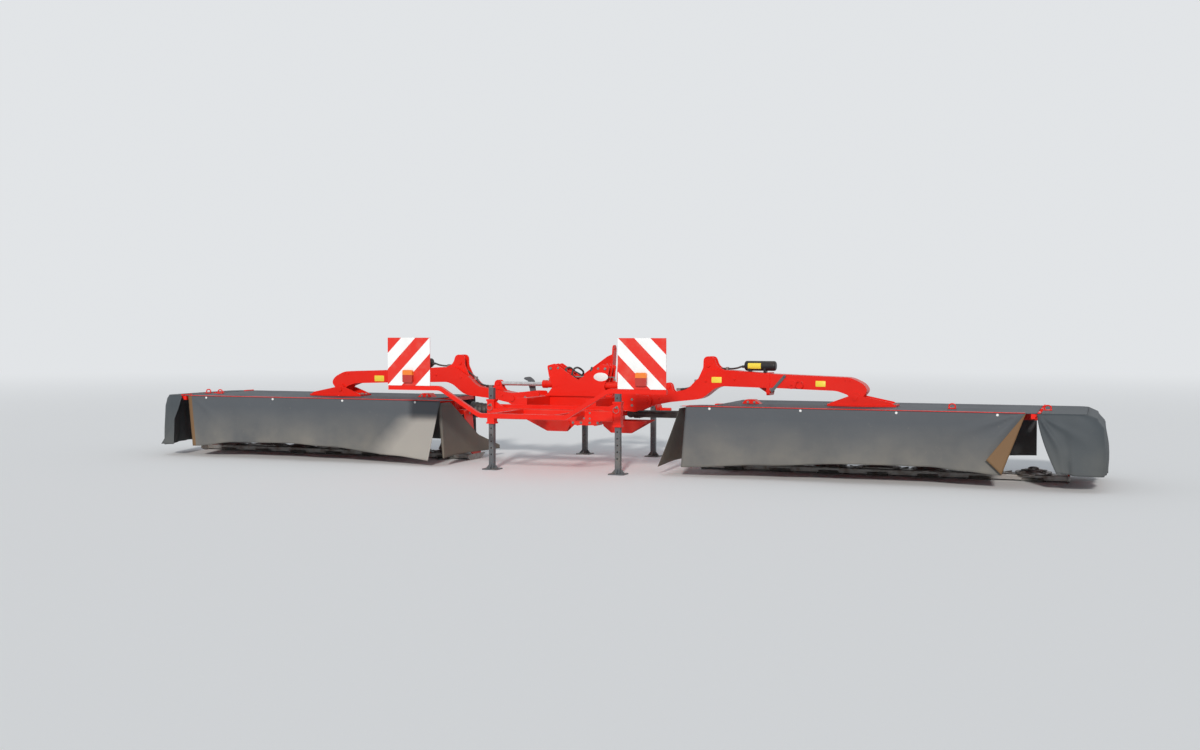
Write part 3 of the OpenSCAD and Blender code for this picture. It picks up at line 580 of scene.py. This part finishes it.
def make_rear_curtain(side):
    """The long rear curtain. The right one's outer corner is folded back over its own face."""
    right = side == "right"
    top_in, top_out = (1.235, 4.060) if right else (1.182, 4.075)
    hem_in, hem_out = (1.195, 3.862) if right else (1.275, 4.015)
    end_x = 4.075                           # outer end of the cloth before it is folded
    roll_top, roll_foot = 0.006, 0.021      # radius of the fold
    edge_length = 0.49                      # height of the outer edge
    lean = math.atan2(top_out - hem_out, edge_length)
    corner = (top_out - 0.03, TOP_Z)
    rays = [(20, 0.020), (47, 0.013)] if right else [(35, 0.008)]
    swing, swing_run = 0.06, 0.35           # how the left one's inner corner swings to the rear
    band = 0.985                            # where the left one's turned outer edge begins

    def hang(x, v):
        z = HANG_Z + (curve_at(HEM[side], x) - HANG_Z) * v
        wave = 0.016 * math.sin(x * 5.1 + 0.6) + 0.008 * math.sin(x * 11.7 + 2.0)
        y = -0.004 - v * (0.012 + 0.8 * wave * v) - 0.006 * wobble(x, 0, z, 3, 7) * v
        y -= pull(x, z, corner, rays)
        if not right:
            y -= swing * v * max(0.0, 1 - (x - hem_in) / swing_run) ** 1.5
        return Vector((x, REAR_Y + y, z))

    def roll(v):
        return roll_top + (roll_foot - roll_top) * v

    def fold_x(v):
        return top_out + (hem_out - top_out) * v

    def surface(c, v):
        """c runs to 1 at the fold, and on to 2 at the end of what is folded back."""
        start = top_in + (hem_in - top_in) * v
        if c <= 1:
            return hang(start + (fold_x(v) - start) * c, v)
        past = (c - 1) * (end_x - fold_x(v))
        s, r = past * math.cos(lean), roll(v)
        if s < math.pi * r:
            m, depth = r * math.sin(s / r), r * (1 - math.cos(s / r))
        else:
            m, depth = math.pi * r - s, 2 * r
        rise = past * math.sin(lean)
        return hang(fold_x(v), v) + Vector((math.sin(lean) * rise + math.cos(lean) * m, -depth,
                                            math.cos(lean) * rise - math.sin(lean) * m))

    def inner_face(c, v):
        if right:
            return c > 1 and (c - 1) * (end_x - fold_x(v)) > 1.7 * roll(v)
        return c > band

    columns = spread(0, 1, 150, band) + ([1 + i / 24 for i in range(1, 25)] if right else [])
    cloth("curtain_rear", side, "unit", surface, columns, spread(0, 1, 26),
          inside=inner_face, mat="cloth_rear", replaces="curtains")


def make_front_curtain(side):
    end_x, hem = OUT_X - 0.05, 0.165

    def surface(u, v):
        x = BAY_X + (end_x - BAY_X) * u
        z = HANG_Z - (TOP_Z - hem + 0.012 * math.sin(x * 4.2)) * v
        y = 0.004 + v * (0.014 + 0.010 * math.sin(x * 6.3) + 0.006 * math.sin(x * 14.1))
        return (x, FRONT_Y + y, z)

    cloth("curtain_front", side, "unit", surface, spread(0, 1, 120), spread(0, 1, 18))


# top line of the inner curtain: height over Y, measured in the curtain's own plane
INNER_TOP = [(-0.30, 0.600), (0.26, 0.250), (0.73, 0.110)]
INNER_LENGTH = 1.21


def make_inner_curtain(side):
    """The dusty panel at the unit's inner end, which leans towards the middle."""
    right = side == "right"
    lean = math.tan(math.radians(19 if right else 3))
    # the first share of the left one wraps round the corner, under the rear curtain
    turn = 0.035
    wrap = 0.0 if right else 0.042
    highest = INNER_TOP[0][1]

    def surface(u, v):
        y = REAR_Y + 0.004 + INNER_LENGTH * max(0.0, u - turn) / (1 - turn)
        top = highest
        for (y0, z0), (y1, z1) in zip(INNER_TOP, INNER_TOP[1:]):
            if y > y0:
                top = z0 + (z1 - z0) * min(1.0, (y - y0) / (y1 - y0))
        hem = 0.075 + 0.03 * math.sin(u * math.pi) * (1 - u)
        z = top + (hem - top) * v
        drop = highest - z
        flare = lean * drop * (1 + 0.25 * drop)
        x = IN_X - 0.006 - flare + 0.010 * math.sin(u * 9) * v * (1 - u)
        x += wrap * (1 - 0.6 * v) * max(0.0, 1 - u / turn)
        return (x, y, z)

    cloth("curtain_inner", side, "unit", surface, spread(turn if right else 0, 1, 60, 0.04),
          spread(0, 1, 22), mat="cloth_dusty")


# shape of each outer flap: edge of its top, corner radius, swell of the skirt, run of the free
# edges outward as they fall, height of the hem, and tension folds
FLAPS = {
    "right": dict(x1=4.53, r=0.10, swell=0.15, run=0.15, hem=0.140, rays=[(58, 0.022), (30, 0.014)]),
    "left": dict(x1=4.40, r=0.17, swell=0.06, run=0.24, hem=0.110, rays=[(70, 0.006)]),
}
SWELL = [(0.0, 0.0), (0.07, 0.50), (0.25, 0.86), (0.7, 1.0), (1.0, 0.93)]   # share over the way down


def make_flap(side):
    """The hinged outer end: a top panel, and a skirt round its three free sides."""
    shape = FLAPS[side]
    x0, x1, r = OUT_X + 0.03, shape["x1"], shape["r"]
    edge_x = OUT_X + 0.002
    ya, yb = REAR_Y - 0.004, FRONT_Y + 0.004

    def top(u, v):
        x, y = x0 + (x1 - x0) * u, ya + (yb - ya) * v
        inset = r - math.sqrt(max(0.0, r * r - max(0.0, x - (x1 - r)) ** 2))
        y = min(max(y, ya + inset), yb - inset)
        return (x, y, SHEET_Z - 0.006 * math.sin(math.pi * v) * u)

    side_len, arc, end_len = x1 - r - edge_x, r * math.pi / 2, yb - ya - 2 * r
    whole = 2 * (side_len + arc) + end_len

    def plan(s):
        """Point and outward normal of the skirt's top line, and the distance from its free edge."""
        d = s * whole
        flip = d > whole / 2
        d = whole - d if flip else d
        if d < side_len:
            at, normal = (edge_x + d, ya), (0, -1)
        elif d < side_len + arc:
            t = (d - side_len) / r
            at = (x1 - r + r * math.sin(t), ya + r - r * math.cos(t))
            normal = (math.sin(t), -math.cos(t))
        else:
            at, normal = (x1, ya + r + d - side_len - arc), (1, 0)
        if flip:
            at, normal = (at[0], ya + yb - at[1]), (normal[0], -normal[1])
        return at, normal, min(d, side_len)

    def skirt(s, v):
        (x, y), (nx, ny), inner = plan(s)
        hem = shape["hem"] + 0.012 * math.sin(s * 17 + 1)
        z = SHEET_Z + (hem - SHEET_Z) * v
        out = shape["swell"] * curve_at(SWELL, v)
        fold = (0.014 * math.sin(s * 46) + 0.007 * math.sin(s * 97 + 1)) * v
        x += nx * (out + fold)
        y += ny * (0.010 * min(1.0, v * 8) + 0.02 * v + fold * 0.5)
        if abs(nx) < 0.5:
            x += shape["run"] * v ** 1.5 * (1 - inner / side_len)
            y += ny * pull(x, z, (edge_x, TOP_Z), shape["rays"])
        return (x, y, z)

    panel = cloth("flap_top", side, "outer_flap", top, spread(0, 1, 24), spread(0, 1, 40),
                  mat="cloth_flap", replaces="outer_flap")
    around = cloth("flap_skirt", side, "outer_flap", skirt, spread(0, 1, 170), spread(0, 1, 28),
                   mat="cloth_flap")
    if side == "right":
        # each piece of the right one's swollen flap gets a mesh of its own
        for ob in (panel, around):
            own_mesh(ob)


# Small solids, gathered into one mesh for each body

def angles(n, count):
    """The first count of n even angles round a circle."""
    return [2 * math.pi * i / n for i in range(count)]


def skin(bm, rings):
    """Joins rings of as many vertices each in a row, and closes both ends."""
    n = len(rings[0])
    for a, b in zip(rings, rings[1:]):
        for i in range(n):
            bm.faces.new((a[i], a[(i + 1) % n], b[(i + 1) % n], b[i]))
    bm.faces.new(rings[0][::-1])
    bm.faces.new(rings[-1])


def lathe(bm, at, axis, profile, n=16):
    """Turns a profile of (radius, height) about an axis through a point; a radius of 0 closes it."""
    at, axis = Vector(at), Vector(axis).normalized()
    across = axis.orthogonal().normalized()
    other = axis.cross(across)
    rings = []
    for r, h in profile:
        rings.append([bm.verts.new(at + axis * h + (across * math.cos(t) + other * math.sin(t)) * r)
                      for t in angles(n, n if r else 1)])
    for a, b in zip(rings, rings[1:]):
        for i in range(n):
            j = (i + 1) % n
            ring = [a[i % len(a)], a[j % len(a)], b[j % len(b)], b[i % len(b)]]
            bm.faces.new(list(dict.fromkeys(ring)))


def cap(bm, at, axis, r, shoulder, top_r, top, n=16):
    """A short round or n-sided stud with a chamfer from its shoulder to its top."""
    lathe(bm, at, axis, [(0, 0), (r, 0), (r, shoulder), (top_r, top), (0, top)], n)


def bolt(bm, at, axis, d):
    """The washer and chamfered hexagon head of a bolt of diameter d."""
    washer = 0.16 * d
    lathe(bm, at, axis, [(0, 0), (1.15 * d, 0), (1.15 * d, washer), (0, washer)], 20)
    head = Vector(at) + Vector(axis).normalized() * 0.16 * d
    cap(bm, head, axis, 0.92 * d, 0.55 * d, 0.80 * d, 0.65 * d, 6)


def smooth_path(points, steps):
    """A smooth line through the points."""
    p = [Vector(q) for q in points]
    p = [2 * p[0] - p[1]] + p + [2 * p[-1] - p[-2]]
    line = []
    for a, b, c, d in zip(p, p[1:], p[2:], p[3:]):
        for i in range(steps):
            t = i / steps
            line.append(0.5 * ((2 * b) + (c - a) * t + (2 * a - 5 * b + 4 * c - d) * t * t
                               + (3 * b - a - 3 * c + d) * t ** 3))
    return line + [p[-2]]


def tube(bm, points, radius, n=12, steps=8):
    """A round bar or hose along a smooth line through the points, with closed ends."""
    line = smooth_path(points, steps)
    ways = [(b - a).normalized() for a, b in zip(line, line[1:])]
    ways.append(ways[-1])
    across = ways[0].orthogonal().normalized()
    rings = []
    for at, way in zip(line, ways):
        across = (across - way * across.dot(way)).normalized()
        other = way.cross(across)
        rings.append([bm.verts.new(at + (across * math.cos(t) + other * math.sin(t)) * radius)
                      for t in angles(n, n)])
    skin(bm, rings)


def rear_plate(bm, outline, y, thick):
    """A thin plate with a chamfered rim that faces the rear, on the plane y."""
    mid = Vector((sum(p[0] for p in outline), 0, sum(p[1] for p in outline))) / len(outline)
    chamfer, rim = 0.0012, 0.6
    rings = []
    for inset, out in ((0, 0), (0, rim), (chamfer, 1.0)):
        ring = []
        for x, z in outline:
            p = Vector((x, 0, z))
            p += (mid - p).normalized() * inset
            ring.append(bm.verts.new((p.x, y - out * thick, p.z)))
        rings.append(ring)
    skin(bm, rings)


def round_rect(x0, x1, z0, z1, r):
    n = 4       # steps round each corner
    corners = [(x1 - r, z1 - r, 0), (x0 + r, z1 - r, 90), (x0 + r, z0 + r, 180), (x1 - r, z0 + r, 270)]
    outline = []
    for cx, cz, start in corners:
        for i in range(n + 1):
            t = math.radians(start + 90 * i / n)
            outline.append((cx + r * math.cos(t), cz + r * math.sin(t)))
    return outline


def bar(bm, a, b, wide, thick):
    """A flat bar with round ends from a to b, wide across the way it runs and thick along Y."""
    a, b = Vector(a), Vector(b)
    way = (b - a).normalized()
    across = way.cross(Vector((0, 1, 0)))
    rim = []
    for p, start in ((b, 0), (a, math.pi)):
        for i in range(9):
            t = start + math.pi * (i / 8 - 0.5)
            rim.append(p + (across * math.sin(t) + way * math.cos(t)) * wide / 2)
    half = Vector((0, thick / 2, 0))
    skin(bm, [[bm.verts.new(p + o) for p in rim] for o in (-half, half)])


def block(bm, lo, hi, chamfer=0.002):
    """A box from lo to hi with chamfered edges."""
    lo, hi = Vector(lo), Vector(hi)
    made = bmesh.ops.create_cube(bm, size=1.0)["verts"]
    for v in made:
        v.co = Vector((lo[i] + (hi[i] - lo[i]) * (v.co[i] + 0.5) for i in range(3)))
    edges = {e for v in made for e in v.link_edges}
    bmesh.ops.bevel(bm, geom=list(edges), offset=chamfer, segments=2, affect="EDGES")


def solid(name, bm, mat, body, side=None):
    """Finishes a gathered mesh, mirrored on the left, and puts it on its body, if it has one."""
    if side == "left":
        for v in bm.verts:
            v.co.x = -v.co.x
    bmesh.ops.recalc_face_normals(bm, faces=bm.faces)
    label = f"{name}_{side}" if side else name
    me = bpy.data.meshes.new(label)
    bm.to_mesh(me)
    bm.free()
    me.materials.append(MATS[mat])
    me.shade_smooth()
    me.set_sharp_from_angle(angle=math.radians(35))
    ob = add_object(label, me)
    if body:
        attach(ob, f"{body}_{side}" if side else body)
    return ob


# Bolts: x, y, z, direction the head points, diameter

ARM_REAR_Y = 0.070
CROSS_REAR_Y, CROSS_FRONT_Y = -0.580, -0.480
GEARBOX_REAR_Y, GEARBOX_FRONT_Y = 0.240, 0.455
HEADSTOCK_REAR_Y, MAST_REAR_Y = 1.040, 1.082
CHEEK_REAR_Y = 0.045
# each also on the other side
FRAME_BOLTS = (
    [(x, CROSS_REAR_Y, z, REARWARD, 0.008) for x in (0.312, 0.368) for z in (0.497, 0.546)]
    + [(x, GEARBOX_REAR_Y, z, REARWARD, 0.012) for x in (0.045, 0.128) for z in (0.395, 0.583)]
    + [(0.138, GEARBOX_REAR_Y, 0.489, REARWARD, 0.012)]
    + [(x, GEARBOX_FRONT_Y, z, FORWARD, 0.012) for x in (0.06, 0.128) for z in (0.395, 0.583)]
    + [(x, CROSS_FRONT_Y, 0.50, FORWARD, 0.011) for x in (0.28, 0.40)]
    + [(0.278, 0.044, 0.923, REARWARD, 0.012), (0.278, 0.256, 0.923, FORWARD, 0.012)]
    + [(0.205, 0.052, 0.925, REARWARD, 0.010)]
    + [(0.545, CHEEK_REAR_Y, z, REARWARD, 0.011) for z in (0.640, 0.585)]
    + [(0.090, MAST_REAR_Y, 0.93, REARWARD, 0.012)]
    + [(x, HEADSTOCK_REAR_Y, z, REARWARD, 0.011) for x in (0.36, 0.465) for z in (0.665, 0.715)])
ARM_BOLTS = (
    [(1.850, y, 0.732, OUTWARD, 0.012) for y in (0.095, 0.205)]
    + [(1.820, y, 0.732, INWARD, 0.012) for y in (0.095, 0.205)]
    + [(x, ARM_REAR_Y, z, REARWARD, 0.011) for x, z in ((1.250, 0.822), (1.523, 0.844), (0.800, 0.655))]
    + [(x, ARM_REAR_Y, 0.845, REARWARD, 0.009) for x in (2.530, 2.570)]
    + [(2.048, 0.060, 0.800, REARWARD, 0.012)]
    + [(1.270, 0.100, 0.960, REARWARD, 0.016), (1.270, 0.200, 0.960, FORWARD, 0.016)])
UNIT_BOLTS = (
    [(x, y, 0.636, UP, 0.012) for x in (2.405, 2.455, 2.895, 2.945) for y in (0.090, ARM_Y, 0.210)]
    + [(x, 0.100, 0.634, REARWARD, 0.011) for x in (1.64, 1.70)]
    + [(x, 0.214, z, FORWARD, 0.012) for x in (1.43, 1.54) for z in (0.575, 0.60)]
    + [(1.190, y, z, INWARD, 0.012) for y, z in ((0.30, 0.10), (0.36, 0.10), (0.24, 0.22), (0.14, 0.47))])


def make_bolts():
    for side in SIDES:
        for name, body, mat, rows in (("bolts_arm", "arm", "red", ARM_BOLTS),
                                      ("bolts_unit", "unit", "zinc", UNIT_BOLTS)):
            bm = bmesh.new()
            for x, y, z, axis, d in rows:
                bolt(bm, (x, y, z), axis, d)
            solid(name, bm, mat, body, side)
    bm = bmesh.new()
    for k in SIDES.values():
        for x, y, z, axis, d in FRAME_BOLTS:
            bolt(bm, (k * x, y, z), axis, d)
    solid("bolts_frame", bm, "zinc", "frame")


# Trim of the wings

RIVETS_X = (1.45, 2.25, 3.05, 3.85)
LATCH_X = {"right": 3.447, "left": 4.051}
# blank labels on the rear of each arm: x0, x1, z0, z1
LABELS = {"right": [(1.307, 1.402, 0.806, 0.859), (2.263, 2.352, 0.784, 0.836)],
          "left": [(2.113, 2.222, 0.772, 0.830)]}


def make_cover_trim(side):
    """Clamping strip and rivets along the cover's rear edge, and the latches on top."""
    bm = bmesh.new()
    block(bm, (IN_X + 0.02, REAR_Y - 0.009, TOP_Z - 0.002),
          (OUT_X - 0.09, REAR_Y + 0.016, TOP_Z + 0.002), 0.0008)
    solid("cover_strip", bm, "red", "unit", side)
    bm = bmesh.new()
    for x in RIVETS_X:
        lathe(bm, (x, REAR_Y - 0.004, TOP_Z - 0.020), REARWARD,
              [(0, 0), (0.011, 0), (0.011, 0.005), (0.008, 0.008), (0, 0.009)])
    solid("cover_rivets", bm, "white", "unit", side)
    half = [(0.022, 0.0), (0.026, 0.022), (0.012, 0.036)]       # half of a latch's loop: x, height
    for name, body, x, y in (("latch_cover", "unit", LATCH_X[side], 0.0),
                             ("latch_flap", "outer_flap", 4.215, 0.02)):
        bm = bmesh.new()
        block(bm, (x - 0.034, y - 0.02, TOP_Z - 0.004), (x + 0.034, y + 0.02, TOP_Z + 0.004))
        loop = [(x - dx, y, TOP_Z + dz) for dx, dz in half]
        loop += [(x + dx, y, TOP_Z + dz) for dx, dz in half[::-1]]
        tube(bm, loop, 0.006, 10)
        solid(name, bm, "red", body, side)


def make_canister_label(side):
    """A thin label bent round the rear of the canister."""
    ends, axis_z, outer_r, thick = (1.637, 1.757), 0.962, 0.0462, 0.0016
    half_angle, n = 34, 12
    turns = [math.radians(-half_angle + 2 * half_angle * i / n) for i in range(n + 1)]
    bm = bmesh.new()
    outer, inner = ([[bm.verts.new((x, ARM_Y - r * math.cos(t), axis_z + r * math.sin(t))) for x in ends]
                     for t in turns] for r in (outer_r, outer_r - thick))
    for a, b in zip(outer, outer[1:]):
        bm.faces.new((a[0], a[1], b[1], b[0]))
    for a, b in zip(inner, inner[1:]):
        bm.faces.new((a[0], b[0], b[1], a[1]))
    for i in range(n):
        for e in (0, 1):
            bm.faces.new((outer[i][e], outer[i + 1][e], inner[i + 1][e], inner[i][e]))
    for i in (0, n):
        bm.faces.new((outer[i][0], outer[i][1], inner[i][1], inner[i][0]))
    solid("label_canister", bm, "yellow", "arm", side)


def make_arm_trim(side):
    """Labels and the grey strut on the rear of the arm, and the right one's hose ring."""
    bm = bmesh.new()
    for x0, x1, z0, z1 in LABELS[side]:
        rear_plate(bm, round_rect(x0, x1, z0, z1, 0.006), ARM_REAR_Y, 0.0015)
    solid("labels_arm", bm, "yellow", "arm", side)
    make_canister_label(side)

    strut_y, strut_thick = 0.064, 0.010
    ends = [(1.984, 0.872), (1.872, 0.742)]
    bm = bmesh.new()
    bar(bm, *((x, strut_y, z) for x, z in ends), 0.026, strut_thick)
    for x, z in ends:
        cap(bm, (x, strut_y - strut_thick / 2, z), REARWARD, 0.010, 0.006, 0.007, 0.009)
    solid("strut", bm, "grey", "arm", side)

    if side == "left":
        return
    cx, cz, ring_r = 2.120, 0.800, 0.034
    bm = bmesh.new()
    tube(bm, [(cx + ring_r * math.cos(a), 0.060, cz + ring_r * math.sin(a))
              for a in (math.radians(120 + 300 * i / 12) for i in range(13))], 0.006, 10, 3)
    block(bm, (cx - 0.028, 0.058, cz + 0.018), (cx - 0.004, 0.071, cz + 0.040))
    solid("hose_ring", bm, "red", "arm", side)


# hydraulic hose of the canister, a smooth line through its points, on the right side
ARM_HOSE = [(1.602, 0.150, 0.954), (1.570, 0.150, 0.954), (1.525, 0.155, 0.940), (1.470, 0.165, 0.933),
            (1.390, 0.170, 0.934), (1.310, 0.170, 0.930), (1.235, 0.170, 0.892), (1.160, 0.170, 0.836),
            (1.085, 0.170, 0.762), (1.020, 0.170, 0.742), (0.985, 0.170, 0.735)]
PORT_Y = {"right": 0.104, "left": 0.196}    # middle of each fold cylinder
PORT_Z, PIPE_Z = 0.806, 0.842               # the cylinder's ports, and the pipe above it


def make_hoses(side):
    """The canister's hose along the arm, the pipe on the fold cylinder and its two hoses to the valve."""
    bm = bmesh.new()
    tube(bm, ARM_HOSE, 0.0085)
    for at, axis in ((ARM_HOSE[0], INWARD), (ARM_HOSE[-1], (1, 0.0, 0.15))):
        lathe(bm, at, axis, [(0, -0.004), (0.013, -0.004), (0.013, 0.014), (0.0115, 0.030), (0, 0.030)], 12)
    solid("hose_arm", bm, "hose", "arm", side)
    bm = bmesh.new()
    for x, z in ((1.43, 0.9225), (1.13, 0.8040)):
        block(bm, (x - 0.012, 0.152, z - 0.006), (x + 0.012, 0.188, z + 0.026))
    block(bm, (0.945, 0.150, 0.722), (0.985, 0.190, 0.748))
    solid("hose_clips", bm, "zinc", "arm", side)

    k, y = SIDES[side], PORT_Y[side]
    bm = bmesh.new()
    tube(bm, [(0.350, y, PORT_Z), (0.350, y, 0.826), (0.342, y, 0.838), (0.325, y, PIPE_Z),
              (0.10, y, PIPE_Z), (-0.055, y, PIPE_Z)], 0.006, 10)
    for x in (0.350, -0.135):
        cap(bm, (x, y, PORT_Z), UP, 0.013, 0.014, 0.009, 0.018, 6)
    solid("cylinder_pipe", bm, "zinc", "fold_cylinder", side)
    # each hose: start, second point, and the place of its end across the valve
    routes = [((-0.135, 0.820), (-0.135, 0.865), -0.020), ((-0.050, PIPE_Z), (-0.085, 0.854), -0.050)]
    for i, ((x, z), (x2, z2), end_x) in enumerate(routes):
        bm = bmesh.new()
        tube(bm, [(x, y, z), (x2, y, z2), (x - 0.030, 0.5 * (y + 0.20), 0.915), (x - 0.020, 0.235, 0.925),
                  (x + 0.010, 0.290, 0.885), (end_x - 0.01, 0.300, 0.830), (end_x, 0.300, 0.772)], 0.0095)
        ob = solid(f"hose_fold_{i + 1}", bm, "hose", None, side)
        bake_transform(ob)


def make_shaft_bell(side):
    """The ribbed rubber bell over the outer joint of the drive shaft."""
    start, ribs, pitch, grow = (0.965, 0.345, 0.490), 6, 0.045, 0.0055
    outer = []
    for i in range(ribs):
        r, h = 0.047 + grow * i, pitch * i
        outer += [(r, h), (r + 0.004, h + 0.012), (r + 0.004, h + 0.026), (r + 0.0015, h + 0.036)]
    lip = [(0.083, 0.275), (0.083, 0.290), (0.078, 0.290)]
    inner = [(0.073, 0.270), (0.041, 0.0), outer[0]]
    bm = bmesh.new()
    lathe(bm, start, OUTWARD, outer + lip + inner, 32)
    bmesh.ops.remove_doubles(bm, verts=bm.verts, dist=1e-5)
    solid("shaft_bell", bm, "guard", "pto_shaft_outer", side)


def make_middle_trim():
    """The valve block on the tower, the pins of the rear legs and the blank oval plate."""
    bm = bmesh.new()
    block(bm, (-0.080, 0.247, 0.700), (0.080, 0.330, 0.765), 0.004)
    for x in (-0.050, -0.020, 0.020, 0.050):
        cap(bm, (x, 0.300, 0.764), UP, 0.012, 0.012, 0.009, 0.016, 6)
    solid("valve_block", bm, "zinc", "frame")

    pin = [(0, 0), (0.013, 0), (0.013, 0.004), (0.008, 0.004), (0.008, 0.030), (0.006, 0.034), (0, 0.034)]
    bm = bmesh.new()
    for k in SIDES.values():
        x = k * 0.620
        lathe(bm, (x, -0.5645, 0.600), REARWARD, pin)
        tube(bm, [(x + 0.028 * math.sin(t), -0.5885, 0.576 + 0.026 * math.cos(t))
                  for t in angles(12, 13)], 0.0022, 6, 2)
    solid("leg_pins", bm, "zinc", "frame")

    bm = bmesh.new()
    rim = [(0.232 + 0.072 * math.cos(a), 0.846 + 0.040 * math.sin(a)) for a in angles(40, 40)]
    rear_plate(bm, rim, 0.052, 0.0018)
    solid("plate_oval", bm, "white", "frame")


make_camera()
make_materials()
make_world()
make_stage()
dress_nodes()
for side in SIDES:
    make_cover(side)
    make_rear_curtain(side)
    make_front_curtain(side)
    make_inner_curtain(side)
    make_flap(side)
    make_cover_trim(side)
    make_arm_trim(side)
    make_hoses(side)
    make_shaft_bell(side)
make_bolts()
make_middle_trim()
